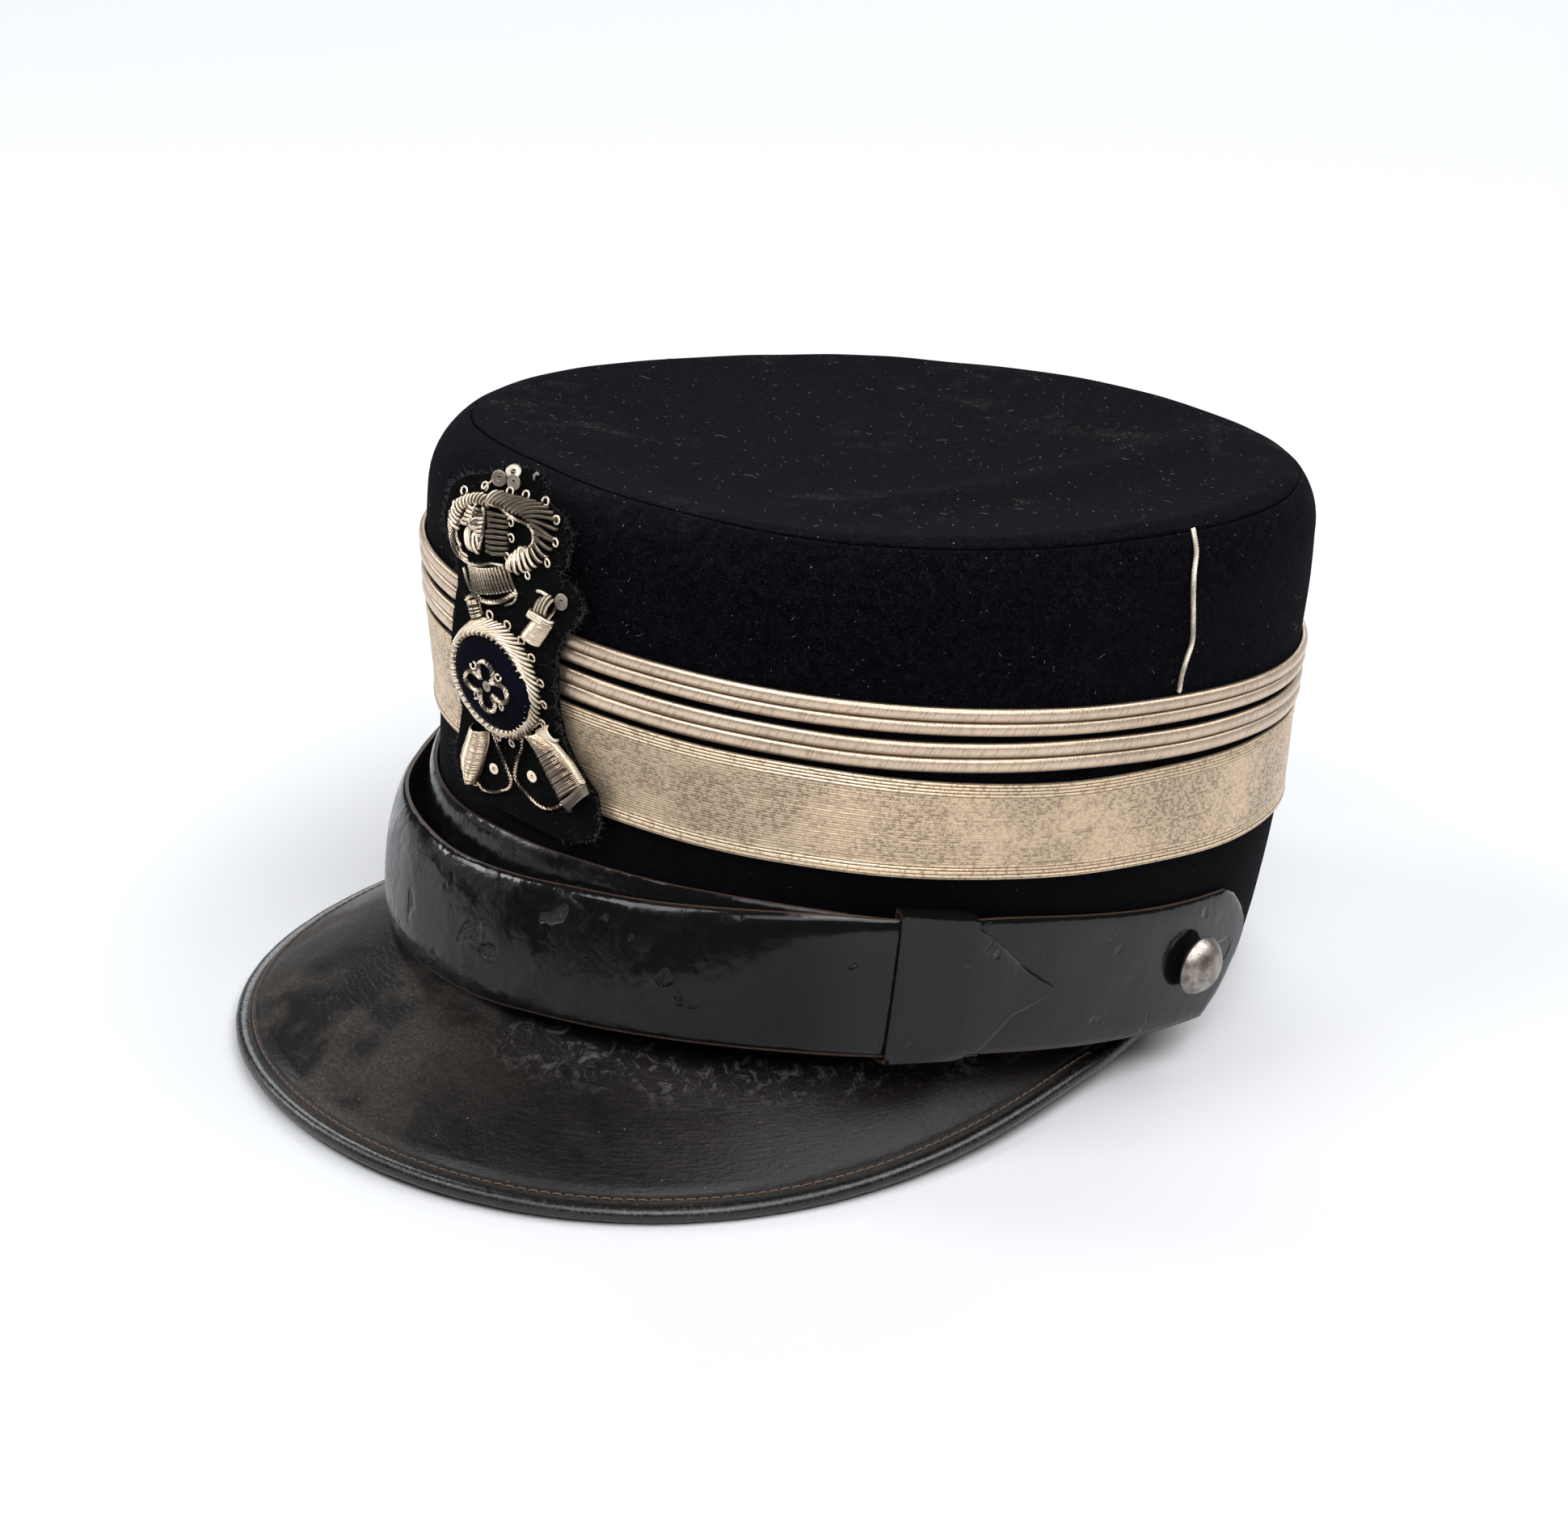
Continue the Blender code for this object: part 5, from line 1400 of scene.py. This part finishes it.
soup = Soup()
BUTT_L_A = ((-8.3, 55.0), (-10.6, 51.2), (-12.8, 46.8), (-12.6, 44.2), (-10.2, 40.9))
BUTT_L_B = ((-3.4, 55.2), (-3.6, 52.9), (-5.6, 48.4), (-7.4, 44.4), (-8.9, 41.0))
satin_block(soup, BUTT_L_A, BUTT_L_B, 36, 2.5, 0.27)
cord_on_badge(soup, ((-12.6, 48.6), (-13.5, 46.4), (-12.9, 43.6), (-10.6, 40.6), (-8.6, 40.4)), 0.36, 1.1, 0.6)
cord_on_badge(soup, ((-3.1, 54.8), (-3.6, 52.2), (-5.4, 48.0), (-7.6, 43.2)), 0.30, 0.9, 0.6)
cord_on_badge(soup, ((-1.5, 55.0), (-0.2, 52.6), (1.1, 49.8), (2.1, 48.1), (3.3, 46.1), (2.7, 43.9), (-0.2, 42.0),
                     (-3.2, 40.8), (-6.2, 40.4), (-8.2, 41.2)), 0.46, 1.7, 0.6)
sequin(soup, -2.7, 46.3, 0.4, 1.35, (0.1, 0.0), kind=1)
soup.make("butt_left_satin", [satin, wire], "badge_butt_left", sharp=None)

soup = Soup()
BUTT_R_A = ((11.6, 59.6), (15.9, 54.0), (18.2, 50.4), (20.6, 47.2))
BUTT_R_B = ((15.0, 60.8), (20.0, 59.8), (24.8, 56.8), (28.0, 53.6))
satin_block(soup, BUTT_R_A, BUTT_R_B, 40, 2.7, 0.27)
for k in range(8):
    t = k / 7
    strand(soup, (20.6 + 2.4 * t, 46.8 - 1.2 * t), (28.1 + 0.9 * t, 53.6 - 1.9 * t), 1.9, 0.36, -0.5 * (1 - t), kind=1)
for k in range(26):
    t = k / 25
    p = along(BUTT_R_B, 0.22 + 0.76 * t)
    strand(soup, p + (-0.9, 0.5), p + (0.7, 0.1), 1.1, 0.24, 0.0, lift=0.2, kind=1)
for k in range(6):
    t = k / 5
    strand(soup, (14.3 + 3.6 * t, 61.0 + 2.2 * t), (17.3 + 3.4 * t, 59.2 + 1.6 * t), 1.1, 0.40, -0.2, kind=1)
strand(soup, (10.4, 58.8), (15.4, 63.3), 1.0, 0.46, 0.1, kind=1)
strand(soup, (10.6, 60.0), (14.6, 63.7), 1.0, 0.44, 0.1, kind=1)
cord_on_badge(soup, ((8.7, 57.4), (8.3, 54.8), (6.3, 52.0), (5.2, 49.2), (4.9, 46.9), (7.2, 45.2), (10.5, 43.7),
                     (14.2, 43.2), (17.8, 44.4), (20.6, 46.2)), 0.48, 1.7, 0.6)
sequin(soup, 10.5, 49.0, 0.4, 1.4, (0.1, 0.0), kind=1)
soup.make("butt_right_satin", [satin, wire], "badge_butt_right", sharp=None)

soup = Soup()
satin_block(soup, ((-7.3, 83.2), (-6.4, 81.2), (-5.6, 79.6)), ((-4.4, 84.2), (-3.5, 82.4), (-2.6, 81.0)), 12, 1.2, 0.27)
cord_on_badge(soup, ((-3.4, 85.6), (-2.8, 83.4), (-2.0, 81.8)), 0.36, 1.0, 0.8)
soup.make("barrel_left_satin", [satin, wire], "badge_barrel_left", sharp=None)

soup = Soup()
satin_block(soup, ((11.3, 81.9), (14.8, 86.2)), ((16.4, 80.4), (20.2, 85.6)), 15, 1.5, 0.34)
for k in range(3):
    strand(soup, (13.0 + 0.35 * k, 86.4 + 0.5 * k), (19.9 + 0.35 * k, 85.6 + 0.55 * k), 1.7, 0.42, 0.5, kind=1)
for a, b in (((15.3, 87.2), (16.9, 91.0)), ((16.3, 87.4), (18.0, 91.6)), ((17.3, 87.4), (19.2, 92.0)),
             ((18.3, 87.6), (20.4, 91.6))):
    strand(soup, a, b, 1.1, 0.46, 0.1, kind=1)
strand(soup, (15.4, 91.9), (18.9, 91.9), 0.7, 0.42, 0.5, kind=1)
cord_on_badge(soup, ((19.0, 86.6), (20.6, 88.8), (22.1, 90.9)), 0.46, 1.1, 0.8)
sequin(soup, 23.0, 91.9, 0.7, 1.75, (0.1, 0.1), kind=2)
soup.make("barrel_right_satin", [satin, wire, sequin_metal], "badge_barrel_right", sharp=None)


# ------------------------------------------------------------------- straps
def strap_piece(name, table, left_end, right_end, node):
    first, last = -right_end[-1][0], left_end[-1][0]
    stations = set(np.round(np.arange(math.ceil(first), math.floor(last), 1.15), 3))
    stations |= {-row[0] for row in right_end} | {row[0] for row in left_end}
    stations = sorted(stations)
    kept = [stations[0]]
    for s in stations[1:]:
        if s - kept[-1] > 0.2:
            kept.append(s)
    loops, kinds_by_part = [], None
    t_outer = [0.0, 0.02, 0.05] + [0.05 + 0.9 * k / 14 for k in range(1, 14)] + [0.95, 0.98, 1.0]
    for phi in kept:
        end = left_end if phi > 0 else right_end
        low, top = straight(end, 1, abs(phi)), straight(end, 2, abs(phi))
        # the pointed end is pared down and lies on the other strap
        thin = min(1.0, max(0.0, (abs(phi) - 67.5) / 8.0)) if end is POINTED_END and table is STRAP_OUTER else 0.0
        loop_ = []
        for t in t_outer:
            edge_drop = 0.35 if t in (0.0, 1.0) else 0.10 if t in (0.02, 0.98) else 0.0
            part = low + (top - low) * t
            p = strap_point(table, phi, part)
            dent = 0.10 * wave(p, 16.0, 21.0) + 0.05 * wave(p, 6.0, 12.0)
            rolled = 0.50 * (max(0.0, t - 0.84) / 0.16) ** 2 + 0.35 * (max(0.0, 0.12 - t) / 0.12) ** 2
            loop_.append(strap_point(table, phi, part, min(dent, 0.12) - edge_drop - 0.02 - rolled - 1.15 * thin))
        for t in (1.0, 0.97, 0.75, 0.5, 0.25, 0.03, 0.0):
            back_off = STRAP_THICK - (0.35 if t in (0.0, 1.0) else 0.0)
            rolled = 0.30 * (max(0.0, t - 0.84) / 0.16) ** 2
            loop_.append(strap_point(table, phi, low + (top - low) * t, -back_off - rolled - 0.2 * thin))
        loops.append(loop_)
    rows = np.array(loops).transpose(1, 0, 2)          # one row a line along the strap
    kinds = [1] + [0] * (len(t_outer) - 3) + [0, 1] + [2] * 6 + [1]
    kinds = kinds[:len(rows)]
    kinds[len(t_outer) - 1] = 1
    uv = arc_uv(rows, np.array([30.0 * t for t in t_outer] + [31.8, 33, 40, 48, 55, 62, 63.0]))
    soup = Soup()
    start = soup.grid(rows, uv, closed=True, kind=np.array(kinds))
    columns = rows.shape[1]
    for column, flip in ((0, False), (columns - 1, True)):
        ring = [start + r * columns + column for r in range(len(rows))]
        soup.fan(ring, rows[:, column].mean(axis=0), flip=flip, kind=1)
    return soup.make(name, [patent, edge, hide], node, sharp=50)


strap_piece("chin_strap_outer", STRAP_OUTER, POINTED_END, BUTTON_END, "strap_outer")
strap_piece("chin_strap_inner", STRAP_INNER, BUTTON_END, POINTED_END, "strap_inner")

for name, side in (("keeper_left", 1), ("keeper_right", -1)):
    gap, thick = 0.35, 1.3
    sections = []
    profile = ((0.0, 0.25), (0.0, thick - 0.25), (0.03, thick - 0.05), (0.10, thick), (0.90, thick), (0.97, thick - 0.05),
               (1.0, thick - 0.25), (1.0, 0.25), (0.96, 0.0), (0.04, 0.0))
    for where, out in profile:
        base = KEEPER_SPAN[0] + (KEEPER_SPAN[1] - KEEPER_SPAN[0]) * where
        shown = out * (1 - 0.72 * where)            # thinned down towards the button
        parts = [k / 10 for k in range(11)]
        loop_, inner = [], []
        for t in parts:
            rolled = 0.7 * (max(0.0, t - 0.80) / 0.20) ** 2
            loop_.append(strap_point(STRAP_OUTER, side * (base + KEEPER_LEAN * (1 - t)), t, gap * (1 - 0.5 * where) + shown - rolled))
        for t in reversed(parts):
            inner.append(strap_point(STRAP_INNER, side * (base + KEEPER_LEAN * (1 - t)), t, -STRAP_THICK - gap - out))
        reach_top = max(strap_point(STRAP_OUTER, side * base, 1.0)[2], strap_point(STRAP_INNER, side * base, 1.0)[2]) + gap + shown
        low_phi = side * (base + KEEPER_LEAN)
        reach_out = strap_point(STRAP_OUTER, low_phi, 0.0)[2] - 0.3 - 0.6 * shown
        reach_in = strap_point(STRAP_INNER, low_phi, 0.0)[2] - gap - out
        a, b = loop_[-1].copy(), inner[0].copy()
        over = [a * (1 - s) + b * s for s in (0.12, 0.5, 0.88)]
        for q, lift in zip(over, (-0.12, 0.0, -0.12)):
            q[2] = reach_top + lift
        loop_[-1][2] = reach_top - 0.5
        inner[0][2] = reach_top - 0.5
        c, d = inner[-1].copy(), loop_[0].copy()
        under_ = [c * (1 - s) + d * s for s in (0.12, 0.5, 0.88)]
        for q, s, lift in zip(under_, (0.12, 0.5, 0.88), (0.12, 0.0, 0.12)):
            q[2] = reach_in + (reach_out - reach_in) * s + lift
        loop_[0][2] = reach_out + 0.5
        inner[-1][2] = reach_in + 0.5
        sections.append(loop_ + over + inner + under_)
    rows = np.array(sections)
    soup = Soup()
    soup.grid(rows, arc_uv(rows, np.array([30.0 * w for w, o in profile])), around=True, closed=True,
              kind=np.array([1, 0, 0, 0, 0, 0, 1, 2, 2, 1]))
    soup.make(name + "_loop", [patent, edge, hide], name, sharp=50)

# ------------------------------------------------------------------- buttons
BUTTON_PROFILE = ((0.0, 6.6), (0.9, 6.57), (1.8, 6.47), (2.7, 6.27), (3.5, 5.97), (4.3, 5.53), (5.1, 4.93), (5.8, 4.22),
                  (6.3, 3.45), (6.58, 2.85), (6.66, 2.65), (6.75, 2.48), (6.75, 2.2), (6.62, 1.97), (6.2, 1.82), (4.4, 1.68),
                  (2.2, 1.6), (1.7, 1.4), (1.6, 1.0), (1.6, 0.3), (0.0, 0.3))
for name, side, table in (("button_left", 1, STRAP_INNER), ("button_right", -1, STRAP_OUTER)):
    foot = strap_point(table, side * BUTTON_PHI, 0.52)
    a = strap_point(table, side * (BUTTON_PHI + 2), 0.52) - strap_point(table, side * (BUTTON_PHI - 2), 0.52)
    b = strap_point(table, side * BUTTON_PHI, 0.7) - strap_point(table, side * BUTTON_PHI, 0.3)
    n = unit(np.cross(a, b))
    if n[0] * side < 0:
        n = -n
    b = unit(b)
    a = np.cross(b, n)
    rings = []
    for r, z in BUTTON_PROFILE[1:-1]:
        ring_ = []
        for k in range(64):
            f = 2 * math.pi * k / 64
            p = foot + (a * math.cos(f) + b * math.sin(f)) * r + n * z
            dent = 0.05 * wave(p, 3.0, 2.0) if z > 2.7 else 0.0
            ring_.append(p + n * dent)
        rings.append(ring_)
    rings = np.array(rings)
    soup = Soup()
    start = soup.grid(rings, around=True)
    soup.fan([start + k for k in range(64)], foot + n * 6.6, flip=True)
    soup.fan([start + (len(rings) - 1) * 64 + k for k in range(64)], foot + n * 0.3)
    soup.make(name + "_dome", pewter, name, sharp=50)

# --------------------------------------------------------------------- peak
rows_top, rows_low = [], []
FS = np.linspace(-0.9, 0.9, 241)
depth_marks = None
STITCH_IN = 2.3
ROLL_RADIUS = 1.8
for f in FS:
    outer = peak_length(f) - 2 * ROLL_RADIUS + 1.2
    span = outer + 1.2
    edge_in = [0.0, 0.4, 0.8, 1.05] + [STITCH_IN + step_ for step_ in (-1.1, -0.8, -0.4, 0.0, 0.4, 0.8, 1.1)]
    outs = [outer - d for d in edge_in if d < span * 0.8]
    while len(outs) < len(edge_in):
        outs.append(outs[-1] - 0.02 * span)
    rest_ = outs[-1]
    outs += [rest_ + (-1.2 - rest_) * k / 16 for k in range(1, 17)]
    a, b = [], []
    for o in outs:
        d = outer - o
        groove = 0.0
        for at in (STITCH_IN - 0.75, STITCH_IN + 0.75):
            groove += 0.28 * math.exp(-((d - at) / 0.32) ** 2)
        p = peak_point(f, o)
        rise = (0.22 * wave(p, 22.0, 31.0) + 0.10 * wave(p, 9.0, 17.0)) * min(1.0, max(0.0, o) / 12.0)
        a.append(peak_point(f, o, groove - min(rise, 0.25)))
        b.append(peak_point(f, o, PEAK_THICK))
    rows_top.append(a)
    rows_low.append(b)
top = np.array(rows_top)
low = np.array(rows_low)
rows = np.concatenate((top, low[:, ::-1]), axis=1).transpose(1, 0, 2)
n_a = top.shape[1]
uv = arc_uv(rows, np.concatenate((np.linspace(0, 55, n_a), np.linspace(55, 110, n_a))))
soup = Soup()
start = soup.grid(rows, uv, closed=True, kind=np.array([0] * (n_a - 1) + [1] * (n_a + 1)))
columns = rows.shape[1]
for column, flip in ((0, False), (columns - 1, True)):
    soup.fan([start + r * columns + column for r in range(len(rows))], rows[:, column].mean(axis=0), flip=flip, kind=1)
soup.make("peak_leather_plate", [peak_top, peak_under], "peak", sharp=60)

# stitches in the groove, following the rolled edge
soup = Soup()
line = []
for f in np.linspace(-0.86, 0.86, 700):
    o = peak_length(f) - 2 * ROLL_RADIUS + 1.2 - STITCH_IN
    if o > 3.0:
        line.append(peak_point(f, o, 0.0))
line = np.array(line)
keys = np.concatenate(((0,), np.cumsum(np.linalg.norm(np.diff(line, axis=0), axis=1))))
total = keys[-1]
position = 1.0
while position < total - 2.0:
    points = []
    for s, lift in ((0.0, -0.30), (0.3, 0.06), (1.0, 0.10), (1.7, 0.06), (2.0, -0.30)):
        p = np.array([np.interp(position + s, keys, line[:, c]) for c in range(3)])
        p[2] += lift
        points.append(p)
    soup.tube(points, 0.22, 5)
    position += 2.5
soup.make("peak_stitches", brown_thread, None, sharp=None)

# rolled edge: a tube along the edge of the peak, a little flattened, not quite even
rings = []
BS = np.linspace(-0.945, 0.945, 281)
for f in BS:
    out = max(peak_length(f) - ROLL_RADIUS - 0.1, 0.6)
    p = peak_point(f, out, 0.9)
    p[2] = -((p[2] ** 4 + 2.8 ** 4) ** 0.25)
    rings.append(p)
spine = np.array(rings)
t = np.gradient(spine, axis=0)
t /= np.linalg.norm(t, axis=1)[:, None]
soup_rows = []
BINDING_SIDES = 22
for k, f in enumerate(BS):
    slope = math.radians(31.55 + 21.34 * f * f - 19.6 * f**4)
    normal = outward(PEAK_SPAN * f, 0.0)
    out_dir = unit(normal * math.cos(slope) - np.array((0, 0, 1.0)) * math.sin(slope))
    out_dir = unit(out_dir - np.dot(out_dir, t[k]) * t[k])
    up_dir = np.cross(out_dir, t[k])
    if up_dir[2] < 0:
        up_dir = -up_dir
    ring_ = []
    for s in range(BINDING_SIDES):
        g = 2 * math.pi * s / BINDING_SIDES
        r = ROLL_RADIUS * (1.0 - 0.05 * (0.5 + 0.5 * math.cos(2 * g)))
        q = spine[k] + out_dir * math.cos(g) * r + up_dir * math.sin(g) * r
        r2 = 0.07 * wave(q, 5.0, 6.0)
        ring_.append(q + (out_dir * math.cos(g) + up_dir * math.sin(g)) * min(r2, 0.03))
    soup_rows.append(ring_)
rows = np.array(soup_rows)
soup = Soup()
start = soup.grid(rows, around=True)
soup.fan([start + k for k in range(BINDING_SIDES)], rows[0].mean(axis=0) - t[0] * 0.6, flip=True)
soup.fan([start + (len(BS) - 1) * BINDING_SIDES + k for k in range(BINDING_SIDES)], rows[-1].mean(axis=0) + t[-1] * 0.6)
soup.make("peak_rolled_edge", peak_roll, "peak_binding", sharp=None)


# ---------------------------------------------------------------- red edging
def lining_foot(phi):
    return 0.4 - 1.3 * math.exp(-((abs(phi) - 116.0) / 11.0) ** 2)


inside = -WALL - 0.45
profile = ((0.0, 0.0, True), (0.5, 0.25, True), (1.5, 0.0, False), (5.0, 0.0, False), (9.0, 0.0, False), (12.6, 0.0, False),
           (13.0, -0.4, False), (12.6, -1.0, False), (7.0, -1.0, False), (1.6, -1.0, False), (0.3, -0.9, True), (0.0, -0.5, True))
rows = []
for h, out, hangs in profile:
    row = []
    for phi in RING:
        p = crown(phi, max(h, 0.0), inside + min(out, 0.0) + (0.15 if out > 0 else 0.0))
        if h > 1.5:
            p = crown(phi, 0.0, inside + out) * (1 - (h - 1.5) / 18.5) + crown(phi, 20.0, inside + out) * ((h - 1.5) / 18.5)
        p[2] = h + (lining_foot(phi) if hangs else 0.0)
        row.append(p)
    rows.append(row)
rows = np.array(rows)
soup = Soup()
soup.grid(rows, arc_uv(rows, np.arange(len(rows), dtype=float)), around=True, closed=True)
soup.make("red_edging", red, "rim_lining", sharp=None)

# ------------------------------------------------------------- lint and ends
soup = Soup()
for k in range(340):
    if rng.random() < 0.62:
        f, part = rng.uniform(-180, 180), math.sqrt(rng.uniform(0.02, 0.95))
        i = int((f + 180) / 360 * AROUND) % AROUND
        x = centre[0] + (crest[i][0] - centre[0]) * part
        y = centre[1] + (crest[i][1] - centre[1]) * part
        base = np.array((x, y, top_height(x, y, part, f) + 0.5))
        n = np.array((0, 0, 1.0))
    else:
        f, h = rng.uniform(-180, 180), rng.uniform(87, 101)
        base, n = crown(f, h, 0.35), outward(f, h)
    side_way = unit(np.cross(n, rng.normal(0, 1, 3)))
    other = np.cross(n, side_way)
    length, curl = (rng.uniform(1.2, 2.6) if rng.random() < 0.12 else rng.uniform(0.25, 1.0)), rng.normal(0, 0.5)
    points = [base + side_way * length * s + other * curl * length * s * s + n * (0.12 * math.sin(5 * s + k)) for s in
              (0.0, 0.33, 0.66, 1.0)]
    soup.tube(points, (0.02, 0.032, 0.032, 0.015), sides=3)
soup.make("cloth_lint", lint, None, sharp=None)

# --------------------------------------------------------------------- floor
bpy.ops.mesh.primitive_grid_add(x_subdivisions=2, y_subdivisions=2, size=1.0)
floor = bpy.context.object
floor.name = "floor"
floor.scale = (9.0, 9.0, 1.0)
f_look = Look("floor_paper")
f_look.set(Base_Color=f_look.mix(f_look.noise(0.004, 2.0, 0.5), (0.545, 0.555, 0.572), (0.572, 0.581, 0.594)), Roughness=0.75,
           Specular_IOR_Level=0.2)
floor.data.materials.append(f_look.material)

# -------------------------------------------------------------------- camera
A, E, ROLL = math.radians(47.17085787722984), math.radians(18.98031462333064), math.radians(8.58679478706209)
ahead = -np.array((math.sin(A) * math.cos(E), -math.cos(A) * math.cos(E), math.sin(E)))
r0 = np.array((math.cos(A), math.sin(A), 0.0))
u0 = np.cross(r0, ahead)
right = math.cos(ROLL) * r0 + math.sin(ROLL) * u0
upright = -math.sin(ROLL) * r0 + math.cos(ROLL) * u0
eye = np.array((0, 0, 55.0)) - 19.066596663792904 * r0 - 21.89366170440373 * u0 - ahead * 858.9436867478021
eye = world(eye)
right, upright, ahead = TILT @ right, TILT @ upright, TILT @ ahead
camera_data = bpy.data.cameras.new("camera")
camera = bpy.data.objects.new("camera", camera_data)
bpy.context.scene.collection.objects.link(camera)
camera_data.sensor_fit = 'HORIZONTAL'
camera_data.sensor_width = 36.0
camera_data.lens = 36.0 * 4652.38540245502 / 1940.0
camera_data.clip_start, camera_data.clip_end = 0.05, 50.0
matrix = Matrix.Identity(4)
for column, axis in enumerate((right, upright, -ahead)):
    for row in range(3):
        matrix[row][column] = axis[row]
for row in range(3):
    matrix[row][3] = eye[row]
camera.matrix_world = matrix
bpy.context.scene.camera = camera

# -------------------------------------------------------------------- lights
scene_world = bpy.data.worlds.new("studio")
bpy.context.scene.world = scene_world
scene_world.use_nodes = True
background = scene_world.node_tree.nodes["Background"]
background.inputs["Color"].default_value = (0.86, 0.92, 1.0, 1.0)
background.inputs["Strength"].default_value = 0.07
flat_ahead = unit(np.array((ahead[0], ahead[1], 0.0)))
flat_right = unit(np.array((right[0], right[1], 0.0)))


def softbox(name, to_right, away, height, size, power, colour=(1.0, 1.0, 1.0), aim=(0.0, 0.0, 0.06)):
    """A square light placed from the camera's point of view, in metres."""
    data = bpy.data.lights.new(name, 'AREA')
    data.shape = 'RECTANGLE'
    data.size, data.size_y = size
    data.energy = power
    data.color = colour
    lamp = bpy.data.objects.new(name, data)
    bpy.context.scene.collection.objects.link(lamp)
    place = flat_right * to_right + flat_ahead * away + np.array((0, 0, height))
    lamp.location = Vector(place)
    lamp.rotation_euler = (Vector(aim) - Vector(place)).to_track_quat('-Z', 'Y').to_euler()


softbox("front", 0.45, -0.95, 1.60, (1.2, 0.9), 21.0)
softbox("panel", 0.15, -1.35, 1.20, (1.5, 0.5), 13.0)
softbox("key", -0.95, -0.52, 1.35, (0.6, 0.6), 12.0)
softbox("window", -1.32, 0.40, 0.78, (0.40, 0.50), 8.0)
softbox("side", 1.25, 0.10, 1.75, (1.2, 1.2), 28.0)
softbox("low_left", -1.45, 0.35, 0.50, (0.8, 0.8), 1.4)
softbox("behind", 0.20, 2.10, 1.45, (2.4, 1.0), 46.0, (0.96, 0.98, 1.0), (0.0, 0.6, 0.0))
bpy.context.scene.view_settings.view_transform = 'Standard'
